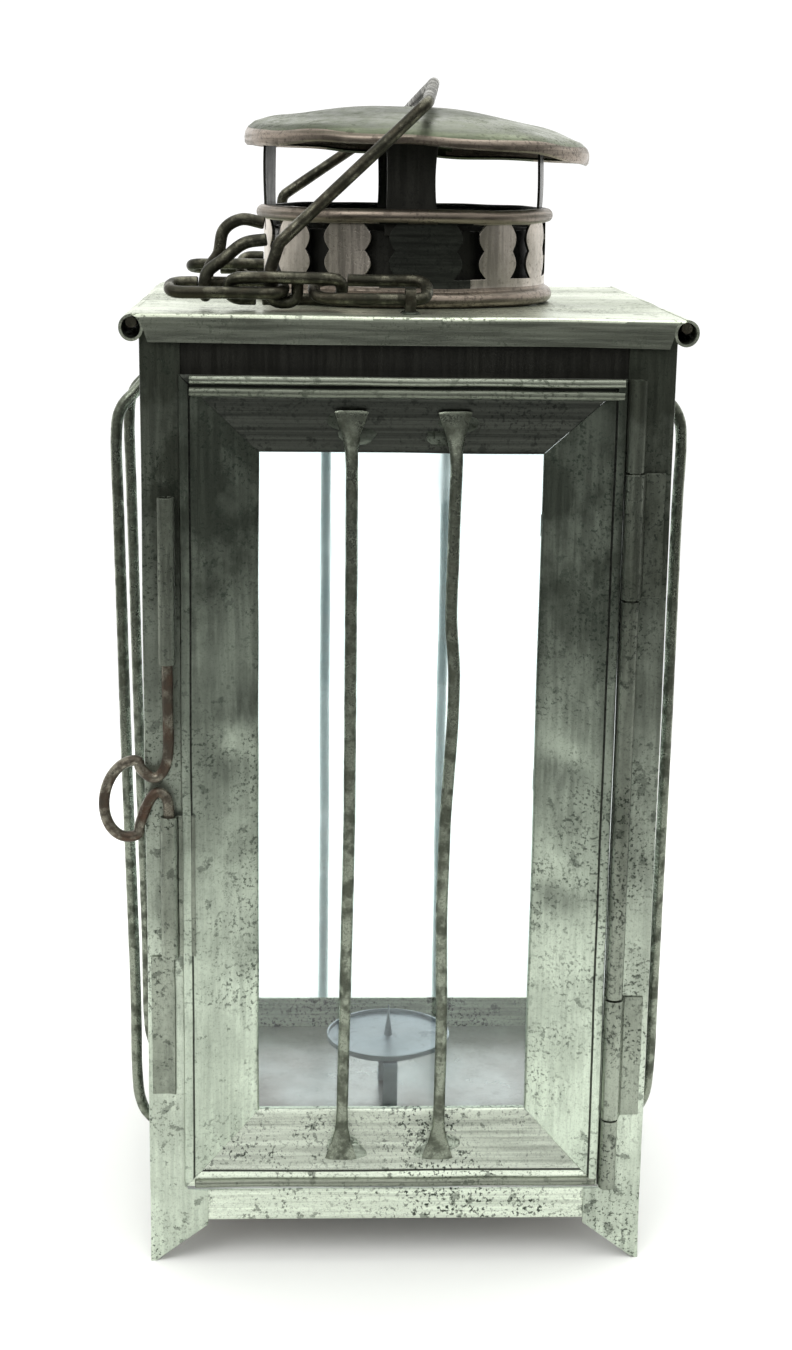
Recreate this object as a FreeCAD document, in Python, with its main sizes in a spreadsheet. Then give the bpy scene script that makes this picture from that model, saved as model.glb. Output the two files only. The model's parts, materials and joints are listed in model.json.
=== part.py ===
"""Square tinplate candle lantern: millimetres, +Z up, front face towards -Y.

The origin lies on the ground at the centre of the square body. Every driving size is a cell of the
spreadsheet, and each piece is tied to those cells by expressions.
"""

import math
import os
import re

import FreeCAD
import Part
import Sketcher
from FreeCAD import Placement, Rotation, Vector

# a size that starts with "=" follows others
SIZES = {
    # body
    "body_width": 120.0,  # across the posts
    "body_depth": 120.0,
    "roof_top": 230.0,  # roof sheet's upper face above the ground
    "tin": 0.6,  # sheet thickness
    "seam": 0.02,  # gap between two sheets that lie on each other
    "post_leg": 9.0,
    "foot_width": 14.0,
    "foot_rise": 9.6,  # height at which the pointed foot reaches its full width
    "foot_tip": 1.2,
    "pan_bottom": 10.6,
    "pan_top": 18.6,
    "floor_level": 12.5,
    "sill_top": 21.5,
    "head_front": "=roof_top - 16.6",  # lower edge of the head band above the door
    "head_side": "=roof_top - 24",  # lower edge of the head band on the other sides
    # panes
    "glass": 1.8,
    "pane_gap": 0.3,
    "clip_reach": 6.0,
    "clip_height": 5.0,
    # roof
    "roof_overhang": 1.6,
    "roof_side": 1.6,  # from the posts to the axis of the side curl
    "flange_drop": 6.4,
    "flange_taper": 5.5,
    "curl_radius": 3.0,
    "rod_radius": 1.2,
    "flue_radius": 32.0,
    # chimney
    "collar_x": 1.2,
    "collar_radius": 34.7,
    "collar_height": 22.6,
    "collar_wall": 0.8,
    "sleeve_height": 17.6,  # inner sleeve that stands over the flue
    "base_bead": 1.9,
    "rim_bead": 1.8,
    "slot_low": 6.6,
    "slot_high": 19.4,
    "slot_end": 3.6,  # half width of a slot at its top and bottom
    "slot_waist": 2.9,  # half width at mid height
    "lobe_radius": 4.2,
    "strut_width": 12.6,
    "strut_rise": 16.6,  # from the collar's rim to the cap's edge
    "strut_hold": 6.0,
    "strut_play": 0.3,
    "cap_x": 4.0,
    "cap_radius": 42.3,
    "cap_rise": 7.0,
    "cap_skirt": 4.6,
    "cap_tilt": 2.4,
    # chain, bail and hanging hook
    "wire": 2.8,
    "chain_y": 47.5,
    "chain_level": "=roof_top + 1.786 * wire",
    "link_length": "=10.18 * wire",
    "link_width": "=3.86 * wire",
    "link_bend": "=0.93 * wire",
    "link_one_x": -8.5,
    "link_two_x": "=link_one_x - 6.893 * wire",
    "link_three_x": "=link_two_x - 4.714 * wire",
    "link_one_tilt": 28.0,
    "link_two_tilt": -40.0,
    "link_three_tilt": 12.0,
    "eye_width": 2.4,
    "eye_room": 0.5,
    "eye_x": "=link_one_x + 3.18 * wire",
    "hook_room": 0.45,
    "bail_knee": "=roof_top + 15",
    "bail_rear_knee": "=roof_top + 23.7",
    "bail_lean": 33.0,
    "bail_shoulder": "=roof_top + 46.2",
    "bail_peak": "=roof_top + 52",
    "hang_x": "=link_three_x - 1.786 * wire",
    "hang_arc": 4.2,
    "hang_throat": 3.0,  # from the ring to where the rear prong starts to turn
    "hang_reach": 14.0,
    # door
    "door_left": "=body_width / 2 - 8.5",
    "door_right": "=body_width / 2 - 11",
    "door_low": 20.2,
    "door_high": "=roof_top - 13.2",
    "door_gap": 0.4,
    "frame_flange": 4.1,
    "frame_bevel": 13.1,
    "frame_depth": 5.4,
    "lip": 1.0,
    "bead_radius": 1.1,
    "bead_pitch": 2.7,
    "pane_lap": 2.4,
    "tab_show": 0.5,  # how far a tab reaches past the lip, over the pane
    "guard_left": -12.8,
    "guard_right": 10.5,
    "pad_width": 8.0,
    "pad_length": 10.0,
    "pad_thickness": 0.9,
    "pad_inset": 3.4,
    # hinge and latch
    "hinge_x": "=door_right + 2.3",
    "knuckle_radius": 2.15,
    "pin_radius": 1.2,
    "pin_play": 0.08,
    "knuckle_gap": 0.5,
    "leaf_reach": 7.2,
    "upper_leaf_low": "=door_high - 50",
    "upper_leaf_high": "=door_high - 21.3",
    "lower_leaf_low": 38.5,
    "lower_leaf_high": 69.0,
    "latch_x": "=door_left + 2.9",
    "latch_radius": 1.3,
    "latch_play": 0.1,
    "keeper_low": "=door_high - 65.8",
    "keeper_high": "=door_high - 27.3",
    "latch_top": "=door_high - 38.8",
    "loop_level": "=door_high - 97.6",
    "loop_radius": 9.0,
    "catch_low": "=door_high - 136.8",
    "catch_high": "=door_high - 102",
    "catch_gap": 0.4,
    "strap_low": "=catch_low - 35.5",
    "strap_high": "=catch_low - 0.5",
    "strap_width": 5.4,
    # fixed side guards
    "guard_half": 20.0,  # from the middle of a side to each of its two wires
    "rear_guard_half": 17.0,
    "guard_bow": 8.0,
    "guard_foot_bow": 3.4,
    "rear_guard_bow": 5.0,
    "guard_top": "=roof_top - 16.5",
    "guard_wide": "=roof_top - 31",
    "guard_narrow": 26.0,
    "guard_low": 14.0,
    # candle plate
    "plate_radius": 16.5,
    "plate_level": 33.6,
    "strap_strip": 3.8,
    "strap_foot": 8.0,
    "prick_height": 9.0,
}

doc = FreeCAD.newDocument("candle_lantern")
sheet = doc.addObject("Spreadsheet::Sheet", "Sizes")
for row, (alias, value) in enumerate(SIZES.items(), 1):
    sheet.set(f"A{row}", alias)
    sheet.set(f"B{row}", str(value))
    sheet.setAlias(f"B{row}", alias)
doc.recompute()

ALIAS = re.compile(r"\b(" + "|".join(SIZES) + r")\b")
UPRIGHT = Rotation()
NODES = []


def tie(text):
    """An expression that names cells, as FreeCAD reads it."""
    return ALIAS.sub(r"Sizes.\1", str(text))


def num(text):
    """The present value of an expression."""
    value = sheet.evalExpression(tie(text))
    return float(getattr(value, "Value", value))


def bind(item, **sizes):
    """Ties properties of an object to expressions; double underscores stand for dots."""
    for name, text in sizes.items():
        item.setExpression(name.replace("__", "."), tie(text))


def seat(item, x="0", y="0", z="0", turn=UPRIGHT):
    """Gives an object its place, tied to the sheet."""
    item.Placement = Placement(Vector(num(x), num(y), num(z)), turn)
    bind(item, Placement__Base__x=x, Placement__Base__y=y, Placement__Base__z=z)


def about(x=0, y=0, z=0, angle=0):
    return Rotation(Vector(x, y, z), angle)


def keep(item, label):
    """Makes an object one of the lantern's pieces."""
    item.Label = label
    NODES.append(item)
    return item


# ---- PartDesign helpers


def new_body(label):
    return keep(doc.addObject("PartDesign::Body", label), label)


def origin_part(body, role):
    return next(f for f in body.Origin.OriginFeatures if f.Role == role)


def new_sketch(body, role, lift="0"):
    """A sketch on an origin plane. XZ_Plane faces -Y, XY_Plane +Z and YZ_Plane +X."""
    sketch = body.newObject("Sketcher::SketchObject", "outline")
    sketch.AttachmentSupport = [(origin_part(body, role), "")]
    sketch.MapMode = "FlatFace"
    sketch.AttachmentOffset = Placement(Vector(0, 0, num(lift)), UPRIGHT)
    bind(sketch, AttachmentOffset__Base__z=lift)
    return sketch


def hold(sketch, geometry, point, x, y):
    """Fixes one point of a sketch at (x, y)."""
    for kind, text in (("DistanceX", x), ("DistanceY", y)):
        rule = sketch.addConstraint(
            Sketcher.Constraint(kind, -1, 1, geometry, point, num(text))
        )
        sketch.setExpression(f"Constraints[{rule}]", tie(text))


def size_arc(sketch, geometry, radius):
    rule = sketch.addConstraint(Sketcher.Constraint("Radius", geometry, num(radius)))
    sketch.setExpression(f"Constraints[{rule}]", tie(radius))


def draw_circle(sketch, x, y, radius):
    circle = Part.Circle(Vector(num(x), num(y), 0), Vector(0, 0, 1), num(radius))
    index = sketch.addGeometry(circle)
    hold(sketch, index, 3, x, y)
    size_arc(sketch, index, radius)


def arc_between(start, end, radius, left):
    """The short arc from start to end that bulges to the left or to the right of its chord."""
    middle = (start + end) / 2
    chord = end - start
    across = Vector(-chord.y, chord.x, 0).normalize() * (1 if left else -1)
    centre = middle - across * math.sqrt(max(radius**2 - chord.Length**2 / 4, 0))
    return Part.Arc(start, centre + across * radius, end)


def draw_outline(sketch, corners, arcs=None):
    """A closed outline through corners; arcs gives {side number: (radius, bulges left)}."""
    arcs = arcs or {}
    points = [Vector(num(x), num(y), 0) for x, y in corners]
    ends = []
    for i, start in enumerate(points):
        end = points[(i + 1) % len(points)]
        if i not in arcs:
            index = sketch.addGeometry(Part.LineSegment(start, end))
            ends.append((index, 1, 2))
            continue
        radius, left = arcs[i]
        index = sketch.addGeometry(arc_between(start, end, num(radius), left))
        # a sketch keeps every arc counter-clockwise
        ends.append((index, 2, 1) if left else (index, 1, 2))
    for i, (index, _, last) in enumerate(ends):
        after, first, _ = ends[(i + 1) % len(ends)]
        sketch.addConstraint(Sketcher.Constraint("Coincident", index, last, after, first))
    for (index, first, _), (x, y) in zip(ends, corners):
        hold(sketch, index, first, x, y)
    for i, (radius, _) in arcs.items():
        size_arc(sketch, ends[i][0], radius)


def add_pad(body, sketch, length, middle=False):
    pad = body.newObject("PartDesign::Pad", "pad")
    pad.Profile = sketch
    pad.SideType = "Symmetric" if middle else "One side"
    bind(pad, Length=length)
    return pad


def add_pocket(body, sketch, length, middle=True, flip=False):
    pocket = body.newObject("PartDesign::Pocket", "pocket")
    pocket.Profile = sketch
    pocket.SideType = "Symmetric" if middle else "One side"
    pocket.Reversed = flip
    bind(pocket, Length=length)
    return pocket


def spin(label, corners, arcs=None):
    """A turned piece: an outline of (radius, height) about the Z axis."""
    body = new_body(label)
    sketch = new_sketch(body, "XZ_Plane")
    draw_outline(sketch, corners, arcs)
    turned = body.newObject("PartDesign::Revolution", "turned")
    turned.Profile = sketch
    turned.ReferenceAxis = (sketch, ["V_Axis"])
    turned.Angle = 360
    return body


# ---- Part helpers


def box(label, low, high):
    """A box from one corner to the other, each an (x, y, z) of expressions."""
    item = doc.addObject("Part::Box", label)
    spans = [f"({b}) - ({a})" for a, b in zip(low, high)]
    bind(item, Length=spans[0], Width=spans[1], Height=spans[2])
    seat(item, *low)
    return item


def rod(label, radius, length, x="0", y="0", z="0", turn=UPRIGHT):
    item = doc.addObject("Part::Cylinder", label)
    bind(item, Radius=radius, Height=length)
    seat(item, x, y, z, turn)
    return item


def tube(label, outer, inner, length, x, y, z):
    cut = doc.addObject("Part::Cut", label)
    cut.Base = rod(f"{label}_outside", outer, length, x, y, z)
    cut.Tool = rod(f"{label}_bore", inner, f"({length}) + 2", x, y, f"({z}) - 1")
    return cut


def join(label, pieces):
    item = doc.addObject("Part::MultiFuse", label)
    item.Shapes = pieces
    return item


def group(label, pieces):
    """Several separate solids in one node."""
    item = doc.addObject("Part::Compound", label)
    item.Links = pieces
    return item


def bent_path(points, bend, closed=False):
    """A wire of straight runs joined by tangent arcs of one radius."""
    count = len(points)
    turns = range(count) if closed else range(1, count - 1)
    cuts = {}
    for i in turns:
        before = (points[i - 1] - points[i]).normalize()
        after = (points[(i + 1) % count] - points[i]).normalize()
        half = before.getAngle(after) / 2
        reach = bend / math.tan(half)
        inward = (before + after).normalize()
        middle = points[i] + inward * (bend / math.sin(half) - bend)
        cuts[i] = (points[i] + before * reach, middle, points[i] + after * reach)
    edges = []
    spot = cuts[0][2] if closed else points[0]
    order = list(turns)[1:] + [0] if closed else turns
    for i in order:
        start, middle, end = cuts[i]
        edges.append(Part.makeLine(spot, start))
        edges.append(Part.Arc(start, middle, end).toShape())
        spot = end
    if not closed:
        edges.append(Part.makeLine(spot, points[-1]))
    return Part.Wire(edges)


def bent_wire(label, corners, radius, bend, closed=False):
    """A round wire bent along corners, each an (x, y, z) of expressions."""
    points = [Vector(*(num(c) for c in corner)) for corner in corners]
    path = bent_path(points, num(bend), closed)
    start = path.OrderedEdges[0]
    circle = Part.Wire(
        Part.Circle(start.Vertexes[0].Point, start.tangentAt(start.FirstParameter), num(radius)).toShape()
    )
    item = doc.addObject("Part::Feature", label)
    item.Shape = path.makePipeShell([circle], True, True)
    return item


# ---- places that several pieces share

HALF_X = "body_width / 2"
HALF_Y = "body_depth / 2"
ROOF_UNDER = "(roof_top - tin)"
WALL_X = "(body_width / 2 - tin - seam)"  # outer face of what lies inside the posts
WALL_Y = "(body_depth / 2 - tin - seam)"
PANE_X = "(body_width / 2 - 2 * tin - 2 * seam)"  # outer face of a side pane
PANE_Y = "(body_depth / 2 - 2 * tin - 2 * seam)"
HINGE_Y = "(-body_depth / 2 - knuckle_radius - seam)"
DOOR_Y = "(-body_depth / 2 - door_gap)"  # back face of the door's flange
DOOR_X = "((door_right - door_left) / 2)"  # middle of the door
LIP_Y = "(-body_depth / 2 - door_gap + frame_depth + lip)"
OPEN_LEFT = "(-door_left + frame_flange + frame_bevel)"
OPEN_RIGHT = "(door_right - frame_flange - frame_bevel)"
OPEN_LOW = "(door_low + frame_flange + frame_bevel)"
OPEN_HIGH = "(door_high - frame_flange - frame_bevel)"
WIRE_R = "(wire / 2)"


# ---- case


def make_post(label, quarter, across, along):
    """An angle post. Its own corner is at the origin, with one leg along X and one along Y."""
    body = new_body(label)
    face = [
        ("0", "0"),
        ("foot_tip", "0"),
        ("foot_width", "foot_rise"),
        ("foot_width", "pan_top"),
        ("post_leg", "pan_top"),
        ("post_leg", ROOF_UNDER),
        ("0", ROOF_UNDER),
    ]
    front = new_sketch(body, "XZ_Plane", "-tin")
    draw_outline(front, face)
    add_pad(body, front, "tin")
    side = new_sketch(body, "YZ_Plane")
    draw_outline(side, face)
    add_pad(body, side, "tin")
    seat(body, across, along, "0", about(z=1, angle=90 * quarter))


def wall_square(inset):
    """The corners of the square between the posts, drawn in by an inset."""
    x = f"({WALL_X} - {inset})"
    y = f"({WALL_Y} - {inset})"
    return [(f"-{x}", f"-{y}"), (x, f"-{y}"), (x, y), (f"-{x}", y)]


def make_pan():
    """The floor tray: a sheet floor inside four upright walls."""
    body = new_body("floor_pan")
    square = wall_square("0")
    inner = wall_square("tin")
    base = new_sketch(body, "XY_Plane", "pan_bottom")
    draw_outline(base, square)
    add_pad(body, base, "pan_top - pan_bottom")
    above = new_sketch(body, "XY_Plane", "pan_top")
    draw_outline(above, inner)
    add_pocket(body, above, "pan_top - floor_level", middle=False)
    below = new_sketch(body, "XY_Plane", "pan_bottom")
    draw_outline(below, inner)
    add_pocket(body, below, "floor_level - tin - pan_bottom", middle=False, flip=True)


def make_head():
    """The head band under the roof, deeper on the three sides that have fixed panes."""
    body = new_body("head_band")
    square = wall_square("0")
    inner = wall_square("tin")
    ring = new_sketch(body, "XY_Plane", "head_side")
    draw_outline(ring, square)
    draw_outline(ring, inner)
    add_pad(body, ring, f"{ROOF_UNDER} - seam - head_side")
    gap = new_sketch(body, "XZ_Plane", WALL_Y)
    draw_outline(
        gap,
        [
            ("-body_width", "head_side - 1"),
            ("body_width", "head_side - 1"),
            ("body_width", "head_front"),
            ("-body_width", "head_front"),
        ],
    )
    add_pocket(body, gap, "4 * tin")


def make_panes():
    """Fixed panes, their sills and the tabs that hold them."""
    tabs = []
    low = "(floor_level + seam)"
    high = f"({ROOF_UNDER} - 2 * seam)"
    side = f"({PANE_Y} - glass - pane_gap)"
    for name, sign in (("left", -1), ("right", 1)):
        edges = sorted((f"{sign} * {PANE_X}", f"{sign} * ({PANE_X} - glass)"), key=num)
        keep(box(f"{name}_pane", (edges[0], f"-{side}", low), (edges[1], side, high)), f"{name}_pane")
        back = f"({PANE_X} - glass - seam)"
        inner = sorted((f"{sign} * {back}", f"{sign} * ({back} - tin)"), key=num)
        strip = box(f"{name}_sill", (inner[0], f"-{side}", low), (inner[1], side, "sill_top"))
        keep(strip, f"{name}_sill")
        for end in (-1, 1):
            for level in ("sill_top + 8", "head_side - 12"):
                spans = sorted((f"{end} * {side}", f"{end} * ({side} - clip_reach)"), key=num)
                tabs.append(
                    box(
                        f"{name}_tab",
                        (inner[0], spans[0], level),
                        (inner[1], spans[1], f"{level} + clip_height"),
                    )
                )
    across = f"({PANE_X} - glass - pane_gap - tin)"
    keep(
        box("rear_pane", (f"-{across}", f"{PANE_Y} - glass", low), (across, PANE_Y, high)),
        "rear_pane",
    )
    back = (f"{PANE_Y} - glass - seam - tin", f"{PANE_Y} - glass - seam")
    keep(box("rear_sill", (f"-{across}", back[0], low), (across, back[1], "sill_top")), "rear_sill")
    for end in (-1, 1):
        for level in ("sill_top + 8", "head_side - 12"):
            spans = sorted((f"{end} * {across}", f"{end} * ({across} - clip_reach)"), key=num)
            tabs.append(
                box("rear_tab", (spans[0], back[0], level), (spans[1], back[1], f"{level} + clip_height"))
            )
    keep(group("pane_tabs", tabs), "pane_tabs")


def make_side_guards():
    """Bowed wires soldered across the fixed panes, with flattened ends."""
    places = (
        ("left_guard_front", -90, f"-{WALL_X}", "-guard_half", "guard_bow"),
        ("left_guard_rear", -90, f"-{WALL_X}", "guard_half", "guard_bow"),
        ("right_guard_front", 90, WALL_X, "-guard_half", "guard_bow"),
        ("right_guard_rear", 90, WALL_X, "guard_half", "guard_bow"),
        ("rear_guard_left", 180, "-rear_guard_half", WALL_Y, "rear_guard_bow"),
        ("rear_guard_right", 180, "rear_guard_half", WALL_Y, "rear_guard_bow"),
    )
    lie = "(-wire / 2 - seam)"
    for label, turn, x, y, bow in places:
        path = [
            ("0", lie, "guard_top + 4"),
            ("0", lie, "guard_top - 2"),
            ("0", f"{lie} - {bow}", "guard_wide"),
            ("0", f"{lie} - guard_foot_bow", "guard_narrow"),
            ("0", lie, "guard_low + 3"),
            ("0", lie, "guard_low - 2"),
        ]
        strand = bent_wire(f"{label}_strand", path, "wire / 2", "5")
        pads = [
            box(
                f"{label}_pad",
                ("-wire", "-tin - seam", f"{level}"),
                ("wire", "-seam", f"{level} + 5"),
            )
            for level in ("guard_top - 2", "guard_low - 1.8")
        ]
        item = keep(join(label, [strand, *pads]), label)
        seat(item, x, y, "0", about(z=1, angle=turn))


def make_candle_plate():
    """The round candle plate with its prick, and the bent strap that carries it."""
    body = spin(
        "candle_plate",
        [
            ("0", "plate_level - tin"),
            ("plate_radius", "plate_level - tin"),
            ("plate_radius", "plate_level + 1.2"),
            ("plate_radius - tin", "plate_level + 1.2"),
            ("plate_radius - tin", "plate_level"),
            ("1.1", "plate_level"),
            ("0.15", "plate_level + prick_height"),
            ("0", "plate_level + prick_height"),
        ],
    )
    seat(body)
    under = "(plate_level - tin - seam)"
    foot = "(floor_level + seam)"
    reach = "(plate_radius + tin)"
    strap = new_body("candle_strap")
    side = new_sketch(strap, "YZ_Plane")
    draw_outline(
        side,
        [
            (f"-{reach} - strap_foot", foot),
            (f"-{reach} + tin", foot),
            (f"-{reach} + tin", f"{under} - tin"),
            (f"{reach} - tin", f"{under} - tin"),
            (f"{reach} - tin", foot),
            (f"{reach} + strap_foot", foot),
            (f"{reach} + strap_foot", f"{foot} + tin"),
            (reach, f"{foot} + tin"),
            (reach, under),
            (f"-{reach}", under),
            (f"-{reach}", f"{foot} + tin"),
            (f"-{reach} - strap_foot", f"{foot} + tin"),
        ],
    )
    add_pad(strap, side, "strap_strip", middle=True)


# ---- roof and chimney


def make_roof():
    """The roof sheet: a flat top, two folded flanges and two side curls round a rod."""
    body = new_body("roof")
    edge_y = f"({HALF_Y} + roof_overhang)"
    axis_x = f"({HALF_X} + roof_side)"
    top = new_sketch(body, "XY_Plane", ROOF_UNDER)
    draw_outline(
        top,
        [
            (f"-{axis_x}", f"-{edge_y}"),
            (axis_x, f"-{edge_y}"),
            (axis_x, edge_y),
            (f"-{axis_x}", edge_y),
        ],
    )
    draw_circle(top, "collar_x", "0", "flue_radius")
    add_pad(body, top, "tin")
    for lift in (f"{edge_y} - tin", f"-{edge_y}"):
        flange = new_sketch(body, "XZ_Plane", lift)
        draw_outline(
            flange,
            [
                (f"-{HALF_X}", ROOF_UNDER),
                (f"-{HALF_X} + flange_taper", "roof_top - flange_drop"),
                (f"{HALF_X} - flange_taper", "roof_top - flange_drop"),
                (HALF_X, ROOF_UNDER),
            ],
        )
        add_pad(body, flange, "tin")
    for sign in (-1, 1):
        ring = new_sketch(body, "XZ_Plane")
        draw_circle(ring, f"{sign} * {axis_x}", "roof_top - curl_radius", "curl_radius")
        draw_circle(ring, f"{sign} * {axis_x}", "roof_top - curl_radius", "curl_radius - tin")
        add_pad(body, ring, f"2 * {edge_y}", middle=True)
        gap = new_sketch(body, "XZ_Plane")
        inner = f"{sign} * ({axis_x} - curl_radius - 1)"
        outer = f"{sign} * ({axis_x} + 0.6)"
        low = "roof_top - 2 * curl_radius - 1"
        high = ROOF_UNDER
        draw_outline(gap, [(inner, low), (outer, low), (outer, high), (inner, high)])
        add_pocket(body, gap, f"3 * {edge_y}")
    for name, sign in (("left", -1), ("right", 1)):
        keep(
            rod(
                f"roof_rod_{name}",
                "rod_radius",
                f"2 * {edge_y}",
                f"{sign} * {axis_x}",
                f"-{edge_y}",
                f"{ROOF_UNDER} - seam - rod_radius",
                about(x=1, angle=-90),
            ),
            f"roof_rod_{name}",
        )


def make_collar():
    """The pierced chimney collar: a rolled bead at its base and its rim, and a plain inner sleeve."""
    inside = "(collar_radius - collar_wall)"
    base = "(collar_radius + base_bead)"
    rim = "(collar_radius + rim_bead)"
    body = spin(
        "collar",
        [
            ("flue_radius - tin", "0"),
            (base, "0"),
            (base, "2 * base_bead"),
            ("collar_radius", "3 * base_bead"),
            ("collar_radius", "collar_height - 2.8 * rim_bead"),
            (rim, "collar_height - 2 * rim_bead"),
            (rim, "collar_height"),
            (inside, "collar_height"),
            (inside, "tin"),
            ("flue_radius", "tin"),
            ("flue_radius", "sleeve_height"),
            ("flue_radius - tin", "sleeve_height"),
        ],
        {1: ("base_bead * 1.02", False), 5: ("rim_bead * 1.02", False)},
    )
    slot = new_sketch(body, "XZ_Plane", f"({inside} + flue_radius) / 2")
    mid = "(slot_low + slot_high) / 2"
    draw_outline(
        slot,
        [
            ("-slot_end", "slot_low"),
            ("slot_end", "slot_low"),
            ("slot_waist", mid),
            ("slot_end", "slot_high"),
            ("-slot_end", "slot_high"),
            ("-slot_waist", mid),
        ],
        {i: ("lobe_radius", True) for i in (1, 2, 4, 5)},
    )
    pocket = add_pocket(body, slot, "2 * base_bead + 2", middle=False, flip=True)
    ring = body.newObject("PartDesign::PolarPattern", "slots")
    ring.Originals = [pocket]
    ring.Axis = (origin_part(body, "Z_Axis"), [""])
    ring.Occurrences = 13
    ring.Angle = 324
    body.Tip = ring
    seat(body, "collar_x", "0", "roof_top + seam", about(z=1, angle=24))


DOME = "((cap_radius ^ 2 + cap_rise ^ 2) / 2 / cap_rise)"
CAP_LEVEL = "(roof_top + collar_height + strut_rise)"


def make_struts():
    """Four flat strips that carry the cap, each lapped inside the collar's rim."""
    low = "(roof_top + collar_height - strut_hold)"
    face = "(collar_radius - collar_wall - seam - strut_width ^ 2 / 8 / collar_radius - 0.1)"
    half = "strut_width / 2"
    shift = "(collar_x - cap_x)"
    for name, turn, far_x, far_y in (
        ("front", 0, f"({shift} + {half})", face),
        ("right", 90, f"({shift} + {face})", half),
        ("rear", 180, f"({shift} + {half})", face),
        ("left", 270, f"({shift} - {face})", half),
    ):
        body = new_body(f"strut_{name}")
        sketch = new_sketch(body, "XZ_Plane", f"{face} - tin")
        dome_drop = f"({DOME} - sqrt({DOME} ^ 2 - {far_x} ^ 2 - ({far_y}) ^ 2))"
        under = f"({CAP_LEVEL} + cap_rise - tin - {dome_drop} - {far_x} * sin(cap_tilt) - strut_play)"
        draw_outline(
            sketch,
            [(f"-{half}", low), (half, low), (half, under), (f"-{half}", under)],
        )
        add_pad(body, sketch, "tin")
        seat(body, "collar_x", "0", "0", about(z=1, angle=turn))


def make_cap():
    """The shallow domed cap with a turned-down skirt, tipped a little to the right."""
    body = spin(
        "cap",
        [
            ("0", "cap_rise - tin"),
            ("cap_radius - tin", "-tin"),
            ("cap_radius - tin", "-cap_skirt"),
            ("cap_radius", "-cap_skirt"),
            ("cap_radius", "0"),
            ("0", "cap_rise"),
        ],
        {0: (DOME, True), 4: (DOME, False)},
    )
    seat(body, "cap_x", "0", CAP_LEVEL, about(y=1, angle=num("cap_tilt")))


# ---- bail, chain and hook

LINKS = (
    ("one", "link_one_x", "link_one_tilt"),
    ("two", "link_two_x", "link_two_tilt"),
    ("three", "link_three_x", "link_three_tilt"),
)


def make_chain(side, sign):
    """Three long wire links and the eye on the roof that holds the first one."""
    half_long = "(link_length / 2 - wire / 2)"
    half_wide = "(link_width / 2 - wire / 2)"
    for name, x, tilt in LINKS:
        label = f"{side}_link_{name}"
        item = bent_wire(
            label,
            [
                (f"-{half_long}", f"-{half_wide}", "0"),
                (half_long, f"-{half_wide}", "0"),
                (half_long, half_wide, "0"),
                (f"-{half_long}", half_wide, "0"),
            ],
            "wire / 2",
            "link_bend",
            closed=True,
        )
        keep(item, label)
        turn = about(x=1, angle=-sign * num(tilt))
        seat(item, x, f"{sign} * chain_y", "chain_level", turn)


def make_eye(side, sign):
    """A strip bent over the first link's outer strand and soldered to the roof."""
    strand_y = f"(chain_y + (link_width / 2 - wire / 2) * cos(link_one_tilt))"
    strand_z = f"(chain_level - (link_width / 2 - wire / 2) * sin(link_one_tilt))"
    inner = "(wire / 2 + eye_room)"
    top = f"({strand_z} + {inner})"
    body = new_body(f"{side}_eye")
    sketch = new_sketch(body, "YZ_Plane")
    low = "(roof_top + seam)"
    draw_outline(
        sketch,
        [
            (f"-{strand_y} - {inner} - tin", low),
            (f"-{strand_y} - {inner}", low),
            (f"-{strand_y} - {inner}", top),
            (f"-{strand_y} + {inner}", top),
            (f"-{strand_y} + {inner}", low),
            (f"-{strand_y} + {inner} + tin", low),
            (f"-{strand_y} + {inner} + tin", f"{top} + tin"),
            (f"-{strand_y} - {inner} - tin", f"{top} + tin"),
        ],
    )
    add_pad(body, sketch, "eye_width", middle=True)
    turn = 0 if sign < 0 else 180
    seat(body, "eye_x", "0", "0", about(z=1, angle=turn))


def make_bail():
    """The carrying bail: a wire bow over the cap, hooked under the end of each chain."""
    bend_x = "(link_three_x + link_length / 2 - wire / 2)"
    ring = "(wire + hook_room)"
    knee_x = f"({bend_x} - {ring} + 2)"
    over_x = f"({bend_x} - {ring} + 2 + bail_lean)"
    corners = [
        (f"{bend_x} + {ring}", "-chain_y", "chain_level + 3"),
        (f"{bend_x} + {ring}", "-chain_y", f"chain_level - {ring}"),
        (f"{bend_x} - {ring}", "-chain_y", f"chain_level - {ring}"),
        (f"{bend_x} - {ring}", "-chain_y", "chain_level + 4"),
        (knee_x, "-chain_y", "bail_knee"),
        (over_x, "-chain_y", "bail_shoulder"),
        (f"{over_x} + 4", "0", "bail_peak"),
        (over_x, "chain_y", "bail_shoulder"),
        (knee_x, "chain_y", "bail_rear_knee"),
        (f"{bend_x} - {ring}", "chain_y", "chain_level + 4"),
        (f"{bend_x} - {ring}", "chain_y", f"chain_level - {ring}"),
        (f"{bend_x} + {ring}", "chain_y", f"chain_level - {ring}"),
        (f"{bend_x} + {ring}", "chain_y", "chain_level + 3"),
    ]
    keep(bent_wire("bail", corners, WIRE_R, "wire - 0.1"), "bail")


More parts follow.
